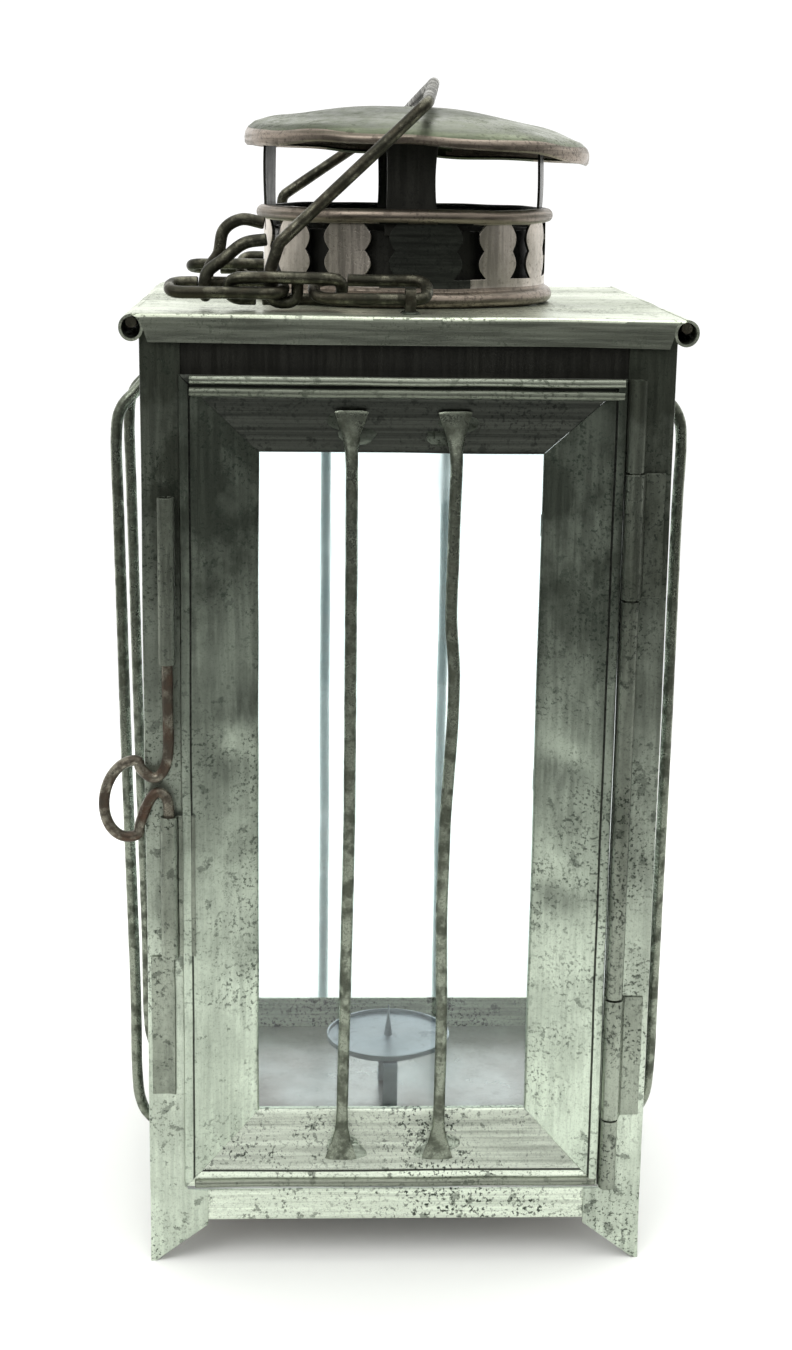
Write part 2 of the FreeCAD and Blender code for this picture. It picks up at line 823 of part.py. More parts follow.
def make_hook():
    """The hanging hook: one wire doubled round the last link, with two open prongs."""
    strand_y = "(-chain_y + (link_width / 2 - wire / 2) * cos(link_three_tilt))"
    strand_z = "(chain_level + (link_width / 2 - wire / 2) * sin(link_three_tilt))"
    ring = "(wire + 0.2)"
    front = f"({strand_y} - 0.8)"
    rear = f"({strand_y} + 2.2)"
    neck = f"({strand_z} + {ring})"
    top = f"({neck} + hang_throat + 2 * hang_arc)"
    corners = [
        ("hang_x + hang_reach - 0.6", rear, f"{top} - 0.6"),
        ("hang_x + hang_reach / 2", rear, top),
        ("hang_x + 3.6", rear, f"{top} - 3"),
        ("hang_x + 3.4", rear, f"{neck} + hang_throat"),
        ("hang_x", f"{strand_y} + {ring}", f"{strand_z} + 2"),
        ("hang_x", f"{strand_y} + {ring}", f"{strand_z} - {ring}"),
        ("hang_x", f"{strand_y} - {ring}", f"{strand_z} - {ring}"),
        ("hang_x", f"{strand_y} - {ring}", f"{neck} + 0.4"),
        ("hang_x + 4.5", front, f"{neck} + 2.4"),
        ("hang_x + 8.5", front, f"{top} - 5.6"),
        ("hang_x + hang_reach", front, f"{top} - 4.6"),
    ]
    keep(bent_wire("hanging_hook", corners, WIRE_R, "wire - 0.6"), "hanging_hook")


# ---- door


def make_door_strips():
    """The four mitred strips of the door's frame, each with a flange, a bevel and a lip."""
    width = "(frame_flange + frame_bevel)"
    tall = "(door_high - door_low)"
    wide = "(door_left + door_right)"
    middle_z = "((door_high + door_low) / 2)"
    strips = (
        ("door_top_strip", wide, 0, DOOR_X, "door_high"),
        ("door_right_strip", tall, 90, "door_right", middle_z),
        ("door_bottom_strip", wide, 180, DOOR_X, "door_low"),
        ("door_left_strip", tall, 270, "-door_left", middle_z),
    )
    for label, length, turn, x, z in strips:
        body = new_body(label)
        section = new_sketch(body, "YZ_Plane")
        # depth along the sketch's X, distance in from the outer edge down its Y
        draw_outline(
            section,
            [
                ("-tin", "0"),
                ("0", "0"),
                ("0", "-frame_flange"),
                ("frame_depth", f"-{width}"),
                ("frame_depth + lip", f"-{width}"),
                ("frame_depth + lip", f"-{width} - tin"),
                ("frame_depth - tin", f"-{width} - tin"),
                ("-tin", "-frame_flange"),
            ],
        )
        add_pad(body, section, length, middle=True)
        for sign in (-1, 1):
            mitre = new_sketch(body, "XZ_Plane")
            end = f"{sign} * {length} / 2"
            draw_outline(
                mitre,
                [
                    (f"{end} + {sign} * 1", "1"),
                    (f"{end} + {sign} * 1", f"-{width} - 4"),
                    (f"{end} - {sign} * ({width} + 4)", f"-{width} - 4"),
                    (f"{end} + {sign} * 0", "0"),
                ],
            )
            add_pocket(body, mitre, "40")
        seat(body, x, DOOR_Y, z, about(y=1, angle=turn))


def make_door_trim():
    """Rolled beads along the door's top and bottom edges."""
    length = "(door_left + door_right - 2 * 2.5)"
    for label, places in (
        ("door_top_bead", ("door_high - bead_radius", "door_high - bead_radius - bead_pitch")),
        ("door_bottom_bead", ("door_low + bead_radius",)),
    ):
        beads = []
        for z in places:
            bead = rod(
                f"{label}_roll",
                "bead_radius",
                length,
                "-door_left + 2.5",
                f"{DOOR_Y} - tin - seam",
                z,
                Rotation(Vector(0, 0, 1), Vector(0, -1, 0), Vector(1, 0, 0), "ZXY"),
            )
            bead.Angle = 180
            beads.append(bead)
        keep(group(label, beads), label)


def make_door_pane():
    """The door's pane behind the lips, and the tabs that hold it."""
    front = f"({LIP_Y} + seam)"
    back = f"({front} + glass)"
    keep(
        box(
            "door_pane",
            (f"{OPEN_LEFT} - pane_lap", front, f"{OPEN_LOW} - pane_lap"),
            (f"{OPEN_RIGHT} + pane_lap", back, f"{OPEN_HIGH} + pane_lap"),
        ),
        "door_pane",
    )
    tabs = []
    for edge, sign in ((OPEN_LEFT, -1), (OPEN_RIGHT, 1)):
        for level in (f"{OPEN_LOW} + 20", f"({OPEN_LOW} + {OPEN_HIGH}) / 2", f"{OPEN_HIGH} - 20"):
            spans = sorted((f"{edge} - {sign} * tab_show", f"{edge} + {sign} * (pane_lap + 3)"), key=num)
            cover = box(
                "door_tab_cover",
                (spans[0], f"{back} + seam", level),
                (spans[1], f"{back} + seam + tin", f"{level} + clip_height"),
            )
            stem_x = sorted(
                (f"{edge} + {sign} * (pane_lap + 3 - tin)", f"{edge} + {sign} * (pane_lap + 3)"),
                key=num,
            )
            stem = box(
                "door_tab_stem",
                (stem_x[0], f"{LIP_Y} - 2.2", level),
                (stem_x[1], f"{back} + seam + tin", f"{level} + clip_height"),
            )
            tabs.append(join("door_tab", [cover, stem]))
    keep(group("door_pane_tabs", tabs), "door_pane_tabs")


def make_door_guards():
    """Two straight wires before the door's pane, their flat ends soldered to the bevels."""
    slope = "atan(frame_depth / (frame_bevel + tin))"
    top_z = "(door_high - frame_flange - pad_inset)"
    low_z = "(door_low + frame_flange + pad_inset)"
    face_y = f"({DOOR_Y} - tin + pad_inset * tan({slope}) - 4 * seam)"
    for label, x in (("door_guard_left", "guard_left"), ("door_guard_right", "guard_right")):
        strand = rod(
            f"{label}_strand",
            "wire / 2",
            f"{top_z} - {low_z}",
            x,
            f"{face_y} - wire / 2 - 0.2",
            low_z,
        )
        pads = []
        for name, z, tip, back in (
            ("upper", top_z, 180 + num(slope), "0"),
            ("lower", low_z, -num(slope), "pad_thickness"),
        ):
            pad = doc.addObject("Part::Box", f"{label}_{name}_pad")
            bind(pad, Length="pad_width", Width="pad_thickness", Height="pad_length")
            seat(
                pad,
                f"{x} - pad_width / 2",
                f"{face_y} - {back} * cos({slope})",
                f"{z} + {back} * sin({slope})",
                about(x=1, angle=tip),
            )
            pads.append(pad)
        keep(join(label, [strand, *pads]), label)


# ---- hinge and latch


def make_hinge():
    """The door hinge: a full-length pin, two leaves on the post and three barrels on the door."""
    bore = "(pin_radius + pin_play)"
    keep(
        rod("hinge_pin", "pin_radius", "door_high - door_low", "hinge_x", HINGE_Y, "door_low"),
        "hinge_pin",
    )
    for name, low, high in (
        ("upper", "upper_leaf_low", "upper_leaf_high"),
        ("lower", "lower_leaf_low", "lower_leaf_high"),
    ):
        label = f"hinge_leaf_{name}"
        length = f"{high} - {low}"
        knuckle = tube(f"{label}_knuckle", "knuckle_radius", "pin_radius", length, "hinge_x", HINGE_Y, low)
        flap = box(
            f"{label}_flap",
            ("hinge_x", "-body_depth / 2 - tin - seam", low),
            ("hinge_x + leaf_reach", "-body_depth / 2 - seam", high),
        )
        keep(join(label, [knuckle, flap]), label)
    spans = (
        ("top", "upper_leaf_high + knuckle_gap", "door_high"),
        ("middle", "lower_leaf_high + knuckle_gap", "upper_leaf_low - knuckle_gap"),
        ("bottom", "door_low", "lower_leaf_low - knuckle_gap"),
    )
    for name, low, high in spans:
        label = f"door_barrel_{name}"
        barrel = tube(f"{label}_tube", "knuckle_radius", bore, f"({high}) - ({low})", "hinge_x", HINGE_Y, low)
        web = box(
            f"{label}_web",
            ("door_right + seam", f"{DOOR_Y} - tin", low),
            ("hinge_x - 1", DOOR_Y, high),
        )
        keep(join(label, [barrel, web]), label)


def make_latch():
    """The latch: a keeper tube and a strap on the post, the sliding pin and the door's catch tube."""
    y = "(-body_depth / 2 - seam - latch_radius - latch_play - tin)"
    bore = "(latch_radius + latch_play)"
    outer = "(latch_radius + latch_play + tin)"
    x = "-latch_x"
    keep(tube("latch_keeper", outer, bore, "keeper_high - keeper_low", x, y, "keeper_low"), "latch_keeper")
    tube_body = tube("door_catch_tube", outer, bore, "catch_high - catch_low", x, f"{y} - 0.3", "catch_low")
    web = box(
        "door_catch_web",
        ("-latch_x + latch_radius + latch_play", f"{DOOR_Y} - 2 * tin - seam", "catch_low"),
        ("-door_left + frame_flange - 1", f"{DOOR_Y} - tin - seam", "catch_high"),
    )
    keep(join("door_catch", [tube_body, web]), "door_catch")
    keep(
        box(
            "latch_strap",
            (f"-{HALF_X} + 1", "-body_depth / 2 - tin - seam", "strap_low"),
            (f"-{HALF_X} + 1 + strap_width", "-body_depth / 2 - seam", "strap_high"),
        ),
        "latch_strap",
    )
    loop_x = "(-latch_x - loop_radius * 0.72)"
    corners = [
        (x, y, "latch_top"),
        (x, y, "loop_level + 5.8"),
        (f"{x} - 1.6", y, "loop_level + 3.6"),
        (f"{loop_x} + 1.5", y, "loop_level + loop_radius"),
        (f"{loop_x} - 5", y, "loop_level + loop_radius"),
        (f"{loop_x} - loop_radius + 0.6", y, "loop_level + 3.6"),
        (f"{loop_x} - loop_radius + 0.6", y, "loop_level - 4"),
        (f"{loop_x} - 4.4", y, "loop_level - loop_radius"),
        (f"{loop_x} + 0.6", y, "loop_level - loop_radius"),
        (f"{x} - 1.8", y, "loop_level + 0.9"),
        (x, y, "loop_level + 0.2"),
        (x, y, "catch_high + catch_gap"),
    ]
    keep(bent_wire("latch_pin", corners, "latch_radius", "1.5"), "latch_pin")


def build():
    make_post("post_front_left", 0, f"-{HALF_X}", f"-{HALF_Y}")
    make_post("post_front_right", 1, HALF_X, f"-{HALF_Y}")
    make_post("post_rear_right", 2, HALF_X, HALF_Y)
    make_post("post_rear_left", 3, f"-{HALF_X}", HALF_Y)
    make_pan()
    make_head()
    make_panes()
    make_side_guards()
    make_candle_plate()
    make_roof()
    make_collar()
    make_struts()
    make_cap()
    for side, sign in (("front", -1), ("rear", 1)):
        make_chain(side, sign)
        make_eye(side, sign)
    make_bail()
    make_hook()
    make_door_strips()
    make_door_trim()
    make_door_pane()
    make_door_guards()
    make_hinge()
    make_latch()


def check():
    """Stops if any object failed or any piece is empty or not valid."""
    for item in doc.Objects:
        if {"Invalid", "Error"} & set(item.State):
            raise RuntimeError(f"{item.Label} failed: {item.State}")
    for node in NODES:
        shape = node.Shape
        if shape.isNull() or not shape.isValid() or not shape.Solids:
            raise RuntimeError(f"{node.Label} has no valid solid")


build()
doc.recompute()
check()
os.makedirs("parts", exist_ok=True)
for node in NODES:
    node.Shape.exportStep(f"parts/{node.Label}.step")
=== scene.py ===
"""Candle lantern: finished meshes, materials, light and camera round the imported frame.

Blender objects are in metres, +Z up, front face towards -Y. Shapes are worked out in millimetres and
scaled when a mesh is made.
"""

import json
import math

import bmesh
import bpy
import numpy as np
from mathutils import Matrix, Vector, noise


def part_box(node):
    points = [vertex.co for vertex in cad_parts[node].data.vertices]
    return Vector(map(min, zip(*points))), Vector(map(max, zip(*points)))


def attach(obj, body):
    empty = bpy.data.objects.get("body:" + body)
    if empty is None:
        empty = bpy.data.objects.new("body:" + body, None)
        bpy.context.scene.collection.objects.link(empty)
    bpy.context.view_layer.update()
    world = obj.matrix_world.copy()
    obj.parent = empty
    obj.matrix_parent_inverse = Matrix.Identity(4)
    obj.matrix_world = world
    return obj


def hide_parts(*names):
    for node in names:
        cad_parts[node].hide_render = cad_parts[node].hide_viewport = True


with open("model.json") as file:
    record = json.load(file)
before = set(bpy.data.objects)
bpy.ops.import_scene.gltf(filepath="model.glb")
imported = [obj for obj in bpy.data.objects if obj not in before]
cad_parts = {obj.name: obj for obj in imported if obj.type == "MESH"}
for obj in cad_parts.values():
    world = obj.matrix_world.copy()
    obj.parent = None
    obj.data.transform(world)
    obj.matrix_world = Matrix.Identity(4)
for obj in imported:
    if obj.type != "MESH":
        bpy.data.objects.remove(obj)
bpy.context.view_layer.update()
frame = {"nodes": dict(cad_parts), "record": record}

MM = 0.001
BODY_OF = {
    node: body for body, nodes in frame["record"]["behaviour"]["bodies"].items() for node in nodes
}
TIN = 0.6  # sheet thickness
WIRE = 1.4  # wire radius
SHARP = math.radians(38)


# ---- measures from the frame


def span(node):
    """A CAD node's lowest and highest corners in millimetres."""
    low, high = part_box(node)
    return np.array(low) / MM, np.array(high) / MM


def middle(node):
    low, high = span(node)
    return (low + high) / 2


def unit(vectors):
    """Vectors of length one, along the last axis."""
    return vectors / np.maximum(np.linalg.norm(vectors, axis=-1, keepdims=True), 1e-9)


# ---- shader groups


def new_group(name, inputs, outputs):
    tree = bpy.data.node_groups.new(name, "ShaderNodeTree")
    for label, kind, value in inputs:
        socket = tree.interface.new_socket(label, in_out="INPUT", socket_type="NodeSocket" + kind)
        socket.default_value = value
    for label, kind in outputs:
        tree.interface.new_socket(label, in_out="OUTPUT", socket_type="NodeSocket" + kind)
    return tree, tree.nodes.new("NodeGroupInput").outputs, tree.nodes.new("NodeGroupOutput").inputs


def feed(tree, value, socket):
    """Links a socket into another, or sets a plain value on it."""
    if isinstance(value, bpy.types.NodeSocket):
        tree.links.new(value, socket)
    else:
        socket.default_value = value


def sums(tree, kind, a, b):
    node = tree.nodes.new("ShaderNodeMath")
    node.operation = kind
    node.use_clamp = True
    feed(tree, a, node.inputs[0])
    feed(tree, b, node.inputs[1])
    return node.outputs[0]


def stretch(tree, vector, factors):
    node = tree.nodes.new("ShaderNodeVectorMath")
    node.operation = "MULTIPLY"
    feed(tree, vector, node.inputs[0])
    feed(tree, factors, node.inputs[1])
    return node.outputs[0]


def remap(tree, value, low, high, to_low=0.0, to_high=1.0):
    node = tree.nodes.new("ShaderNodeMapRange")
    node.interpolation_type = "SMOOTHSTEP"
    for socket, item in zip(node.inputs, (value, low, high, to_low, to_high)):
        feed(tree, item, socket)
    return node.outputs[0]


def cloud(tree, vector, scale, detail, low, high):
    """A soft mask from noise: 0 below one level of it and 1 above another."""
    node = tree.nodes.new("ShaderNodeTexNoise")
    node.inputs["Scale"].default_value = scale
    node.inputs["Detail"].default_value = detail
    node.inputs["Roughness"].default_value = 0.62
    feed(tree, vector, node.inputs["Vector"])
    return remap(tree, node.outputs[0], low, high)


def mix(tree, share, a, b, kind="MIX"):
    node = tree.nodes.new("ShaderNodeMix")
    node.data_type = "RGBA"
    node.blend_type = kind
    feed(tree, share, node.inputs[0])
    feed(tree, a, node.inputs[6])
    feed(tree, b, node.inputs[7])
    return node.outputs[2]


def object_places(tree):
    return tree.nodes.new("ShaderNodeTexCoord").outputs["Object"]


def make_patina_group():
    """Aged tin: brushed bright metal under dull stains and dark specks, darkened more the higher it stands, partly as
    sooting and partly as painted shade for the darker reflections up there.
    """
    tree, given, out = new_group(
        "Patina",
        [
            ("Bright", "Color", (0.6, 0.62, 0.56, 1)),
            ("Dull", "Color", (0.3, 0.32, 0.27, 1)),
            ("Speck", "Color", (0.05, 0.06, 0.045, 1)),
            ("Grain", "Vector", (900, 900, 40)),
            ("Stains", "Float", 0.6),
            ("Specks", "Float", 0.6),
            ("Soot", "Float", 0.5),
        ],
        [("Color", "Color"), ("Roughness", "Float"), ("Height", "Float")],
    )
    place = object_places(tree)
    grained = stretch(tree, place, given["Grain"])
    brush = cloud(tree, grained, 1.0, 3, 0.25, 0.75)
    streak = stretch(tree, grained, (0.30, 0.30, 0.8))
    scratch = cloud(tree, streak, 1.0, 6, 0.53, 0.68)
    stain = cloud(tree, stretch(tree, grained, (0.06, 0.06, 0.9)), 1.0, 8, 0.38, 0.66)
    flakes = cloud(tree, place, 260, 9, 0.60, 0.63)
    patch = cloud(tree, place, 42, 5, 0.42, 0.66)
    dots = cloud(tree, place, 1150, 6, 0.535, 0.60)
    fine = cloud(tree, place, 2600, 4, 0.55, 0.66)
    parts = tree.nodes.new("ShaderNodeSeparateXYZ")
    feed(tree, place, parts.inputs[0])
    # Painted shade, partly: the colour darkens with height, partly as sooting and partly standing in for the darker
    # reflections higher up.
    rise = remap(tree, parts.outputs["Z"], 0.03, 0.235)
    soot_and_shade = sums(tree, "MULTIPLY", rise, given["Soot"])
    dulled = sums(tree, "MULTIPLY", stain, given["Stains"])
    dulled = sums(tree, "ADD", dulled, soot_and_shade)
    sown = sums(tree, "MULTIPLY", dots, sums(tree, "ADD", patch, 0.15))
    sown = sums(tree, "ADD", sown, sums(tree, "MULTIPLY", scratch, 0.28))
    sown = sums(tree, "ADD", sown, sums(tree, "MULTIPLY", flakes, 0.55))
    sown = sums(tree, "ADD", sown, sums(tree, "MULTIPLY", fine, 0.35))
    sown = sums(tree, "MULTIPLY", sown, given["Specks"])
    colour = mix(tree, dulled, given["Bright"], given["Dull"])
    tone = remap(tree, brush, 0.0, 1.0, 0.86, 1.08)
    joined = tree.nodes.new("ShaderNodeCombineColor")
    for socket in joined.inputs:
        feed(tree, tone, socket)
    colour = mix(tree, 1.0, colour, joined.outputs[0], "MULTIPLY")
    colour = mix(tree, sown, colour, given["Speck"])
    feed(tree, colour, out["Color"])
    worn = sums(tree, "ADD", sums(tree, "MULTIPLY", dulled, 0.20), sums(tree, "MULTIPLY", sown, 0.3))
    feed(tree, sums(tree, "ADD", worn, remap(tree, brush, 0, 1, 0.24, 0.36)), out["Roughness"])
    relief = sums(tree, "SUBTRACT", remap(tree, brush, 0, 1, 0.5, 0.66), sums(tree, "MULTIPLY", sown, 0.4))
    feed(tree, sums(tree, "ADD", relief, sums(tree, "MULTIPLY", stain, 0.12)), out["Height"])
    return tree


def make_oxide_group():
    """Iron wire: bare metal showing through a dark oxide, with a second oxide in patches."""
    tree, given, out = new_group(
        "Oxide",
        [
            ("Metal", "Color", (0.4, 0.41, 0.36, 1)),
            ("Oxide", "Color", (0.09, 0.1, 0.07, 1)),
            ("Patch", "Color", (0.16, 0.09, 0.05, 1)),
            ("Cover", "Float", 0.6),
        ],
        [("Color", "Color"), ("Roughness", "Float"), ("Height", "Float")],
    )
    place = object_places(tree)
    skin = cloud(tree, place, 260, 7, 0.28, 0.72)
    skin = remap(tree, sums(tree, "ADD", skin, given["Cover"]), 0.35, 1.0)
    patch = cloud(tree, place, 170, 6, 0.40, 0.70)
    pits = cloud(tree, place, 2400, 4, 0.5, 0.68)
    colour = mix(tree, skin, given["Metal"], mix(tree, patch, given["Oxide"], given["Patch"]))
    colour = mix(tree, sums(tree, "MULTIPLY", pits, 0.22), colour, (0.02, 0.02, 0.015, 1))
    feed(tree, colour, out["Color"])
    rough = sums(tree, "ADD", remap(tree, skin, 0, 1, 0.26, 0.46), sums(tree, "MULTIPLY", pits, 0.2))
    feed(tree, rough, out["Roughness"])
    relief = sums(tree, "SUBTRACT", remap(tree, skin, 0, 1, 0.5, 0.62), sums(tree, "MULTIPLY", pits, 0.4))
    feed(tree, relief, out["Height"])
    return tree


PATINA = make_patina_group()
OXIDE = make_oxide_group()


# ---- materials


def new_material(name, slot):
    material = bpy.data.materials.new(name)
    material.use_nodes = True
    material["slot"] = slot
    return material, material.node_tree, material.node_tree.nodes["Principled BSDF"]


def metal(name, slot, group, metallic, relief, **values):
    """A metal whose colour, roughness and relief come from a shader group."""
    material, tree, shader = new_material(name, slot)
    look = tree.nodes.new("ShaderNodeGroup")
    look.node_tree = group
    for label, value in values.items():
        look.inputs[label].default_value = value
    bump = tree.nodes.new("ShaderNodeBump")
    bump.inputs["Strength"].default_value = 0.7
    bump.inputs["Distance"].default_value = relief
    tree.links.new(look.outputs["Height"], bump.inputs["Height"])
    tree.links.new(look.outputs["Color"], shader.inputs["Base Color"])
    tree.links.new(look.outputs["Roughness"], shader.inputs["Roughness"])
    tree.links.new(bump.outputs[0], shader.inputs["Normal"])
    shader.inputs["Metallic"].default_value = metallic
    return material


UPRIGHT_GRAIN = (900, 900, 45)
LEVEL_GRAIN = (45, 900, 900)
TOP_GRAIN = (60, 500, 900)

POST_TIN = metal(
    "post tin", "tinplate", PATINA, 0.95, 0.00005,
    Bright=(0.60, 0.67, 0.56, 1), Dull=(0.060, 0.067, 0.052, 1), Speck=(0.02, 0.028, 0.02, 1),
    Grain=UPRIGHT_GRAIN, Stains=0.30, Specks=0.80, Soot=0.96,
)
STILE_TIN = metal(
    "door stile tin", "tinplate", PATINA, 0.95, 0.00005,
    Bright=(0.62, 0.70, 0.58, 1), Dull=(0.068, 0.078, 0.062, 1), Speck=(0.02, 0.03, 0.022, 1),
    Grain=UPRIGHT_GRAIN, Stains=0.30, Specks=0.70, Soot=0.96,
)
# Painted light: a brighter copy of the stile tin for parts low down that show the bright floor: the door's bottom
# strip, the floor tray's walls and the sills.
LIT_RAIL_TIN = metal(
    "lit rail tin", "tinplate", PATINA, 0.95, 0.00005,
    Bright=(0.78, 0.85, 0.72, 1), Dull=(0.17, 0.19, 0.15, 1), Speck=(0.025, 0.035, 0.025, 1),
    Grain=LEVEL_GRAIN, Stains=0.28, Specks=0.95, Soot=0.6,
)
BEAD_TIN = metal(
    "door bead tin", "tinplate", PATINA, 0.95, 0.00005,
    Bright=(0.36, 0.39, 0.32, 1), Dull=(0.14, 0.153, 0.12, 1), Speck=(0.04, 0.05, 0.035, 1),
    Grain=LEVEL_GRAIN, Stains=0.6, Specks=0.6, Soot=0.3,
)
# Painted shade: a near-black copy of the rail tin, for the door's top strip that faces down, the folds along the door
# strips and the collar's front panel.
SHADED_TIN = metal(
    "shaded rail tin", "tinplate", PATINA, 0.9, 0.00006,
    Bright=(0.075, 0.08, 0.068, 1), Dull=(0.024, 0.026, 0.022, 1), Speck=(0.01, 0.012, 0.01, 1),
    Grain=LEVEL_GRAIN, Stains=0.5, Specks=0.6, Soot=0.5,
)
ROOF_TIN = metal(
    "roof tin", "roof_tin", PATINA, 0.93, 0.00007,
    Bright=(0.60, 0.65, 0.52, 1), Dull=(0.20, 0.225, 0.165, 1), Speck=(0.03, 0.034, 0.026, 1),
    Grain=TOP_GRAIN, Stains=0.55, Specks=0.75, Soot=0.05,
)
COLLAR_TIN = metal(
    "collar tin", "chimney_tin", PATINA, 0.93, 0.00007,
    Bright=(0.60, 0.545, 0.48, 1), Dull=(0.20, 0.185, 0.15, 1), Speck=(0.03, 0.025, 0.02, 1),
    Grain=UPRIGHT_GRAIN, Stains=0.55, Specks=0.45, Soot=0.10,
)
CAP_TIN = metal(
    "cap tin", "chimney_tin", PATINA, 0.93, 0.00008,
    Bright=(0.135, 0.155, 0.095, 1), Dull=(0.032, 0.040, 0.022, 1), Speck=(0.015, 0.016, 0.011, 1),
    Grain=(260, 260, 260), Stains=0.75, Specks=0.45, Soot=0.05,
)
# Painted shade, with sooting: a near-black tin for parts in shadow: the head band under the roof, the collar's inside
# and the struts under the cap.
SOOT_AND_SHADE_TIN = metal(
    "soot and shade tin", "chimney_tin", PATINA, 0.8, 0.00008,
    Bright=(0.05, 0.05, 0.042, 1), Dull=(0.02, 0.02, 0.017, 1), Speck=(0.008, 0.008, 0.007, 1),
    Grain=UPRIGHT_GRAIN, Stains=0.6, Specks=0.5, Soot=0.3,
)
COPPERY_TIN = metal(
    "coppery tin", "chimney_tin", PATINA, 0.93, 0.00008,
    Bright=(0.30, 0.25, 0.205, 1), Dull=(0.10, 0.09, 0.068, 1), Speck=(0.03, 0.025, 0.02, 1),
    Grain=TOP_GRAIN, Stains=0.8, Specks=0.5, Soot=0.05,
)
WORN_TIN = metal(
    "worn tin", "tinplate", PATINA, 0.93, 0.00006,
    Bright=(0.33, 0.365, 0.30, 1), Dull=(0.07, 0.078, 0.06, 1), Speck=(0.02, 0.026, 0.02, 1),
    Grain=UPRIGHT_GRAIN, Stains=0.5, Specks=0.8, Soot=0.6,
)
FLOOR_TIN = metal(
    "floor tin", "tinplate", PATINA, 0.9, 0.00004,
    Bright=(0.52, 0.53, 0.52, 1), Dull=(0.34, 0.29, 0.27, 1), Speck=(0.16, 0.14, 0.13, 1),
    Grain=(200, 200, 200), Stains=0.8, Specks=0.25, Soot=0.0,
)
PLATE_TIN = metal(
    "candle plate tin", "tinplate", PATINA, 0.93, 0.00005,
    Bright=(0.42, 0.47, 0.50, 1), Dull=(0.25, 0.28, 0.30, 1), Speck=(0.10, 0.11, 0.11, 1),
    Grain=(120, 120, 120), Stains=0.6, Specks=0.4, Soot=0.0,
)
SOLDER = metal(
    "solder", "tinplate", PATINA, 0.9, 0.00012,
    Bright=(0.46, 0.52, 0.43, 1), Dull=(0.06, 0.069, 0.054, 1), Speck=(0.025, 0.03, 0.02, 1),
    Grain=(300, 300, 300), Stains=0.6, Specks=0.8, Soot=0.85,
)
GUARD_WIRE = metal(
    "guard wire", "guard_wire", OXIDE, 0.92, 0.00006,
    Metal=(0.24, 0.265, 0.21, 1), Oxide=(0.09, 0.10, 0.076, 1), Patch=(0.11, 0.12, 0.092, 1), Cover=0.12,
)
# Painted light: a near-white wire, tinted like the glass, for the washed-out look the rear guards have behind the
# panes.
PALE_PAINTED_WIRE = metal(
    "wire painted pale", "guard_wire", OXIDE, 0.1, 0.00003,
    Metal=(0.88, 0.97, 0.97, 1), Oxide=(0.80, 0.92, 0.93, 1), Patch=(0.78, 0.90, 0.91, 1), Cover=0.1,
)
CHAIN_WIRE = metal(
    "chain wire", "chain_wire", OXIDE, 0.9, 0.00008,
    Metal=(0.115, 0.112, 0.082, 1), Oxide=(0.034, 0.034, 0.024, 1), Patch=(0.052, 0.045, 0.031, 1), Cover=0.35,
)
RUSTY_WIRE = metal(
    "rusty wire", "rusty_wire", OXIDE, 0.75, 0.00010,
    Metal=(0.22, 0.205, 0.16, 1), Oxide=(0.065, 0.054, 0.04, 1), Patch=(0.085, 0.052, 0.034, 1), Cover=0.32,
)


def make_glass():
    material, tree, shader = new_material("dusty glass", "glass")
    place = object_places(tree)
    film = cloud(tree, place, 35, 5, 0.45, 0.75)
    feed(tree, mix(tree, film, (0.94, 0.985, 0.985, 1), (0.86, 0.94, 0.945, 1)), shader.inputs["Base Color"])
    feed(tree, remap(tree, film, 0, 1, 0.01, 0.10), shader.inputs["Roughness"])
    shader.inputs["IOR"].default_value = 1.45
    shader.inputs["Transmission Weight"].default_value = 1.0
    return material


GLASS = make_glass()


# ---- mesh tools


def add_piece(node, points, faces, material, name=None, bevel=0.0, paint=None):
    """A finished piece in place of a CAD node, riding on the same body.

    paint gives some faces another material: pairs of a material and the numbers of its faces.
    """
    mesh = bpy.data.meshes.new(name or node)
    mesh.from_pydata((np.asarray(points) * MM).tolist(), [], [list(face) for face in faces])
    mesh.materials.append(material)
    for index, (other, numbers) in enumerate(paint or [], 1):
        mesh.materials.append(other)
        for number in numbers:
            mesh.polygons[number].material_index = index
    work = bmesh.new()
    work.from_mesh(mesh)
    bmesh.ops.recalc_face_normals(work, faces=work.faces)
    work.to_mesh(mesh)
    work.free()
    mesh.shade_smooth()
    mesh.set_sharp_from_angle(angle=SHARP)
    piece = bpy.data.objects.new((name or node) + "_finished", mesh)
    bpy.context.scene.collection.objects.link(piece)
    if bevel:
        edge = piece.modifiers.new("rounded edges", "BEVEL")
        edge.width = bevel * MM
        edge.segments = 2
        edge.limit_method = "ANGLE"
        edge.angle_limit = math.radians(55)
        edge.harden_normals = False
    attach(piece, BODY_OF[node])
    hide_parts(node)
    return piece


def gather(parts):
    """Several sets of points and faces as one."""
    points = []
    faces = []
    for some, theirs in parts:
        base = len(points)
        points.extend(np.asarray(some).tolist())
        faces.extend([base + corner for corner in face] for face in theirs)
    return points, faces


def loft(loops, ring=False):
    """Joins equal loops of points into one closed skin. A ring's last loop meets its first."""
    count, sides = loops.shape[:2]
    faces = []
    for i in range(count if ring else count - 1):
        here = i * sides
        there = (i + 1) % count * sides
        for j in range(sides):
            k = (j + 1) % sides
            faces.append((here + j, here + k, there + k, there + j))
    if not ring:
        faces.append(tuple(range(sides)))
        faces.append(tuple((count - 1) * sides + j for j in range(sides)))
    return loops.reshape(-1, 3), faces


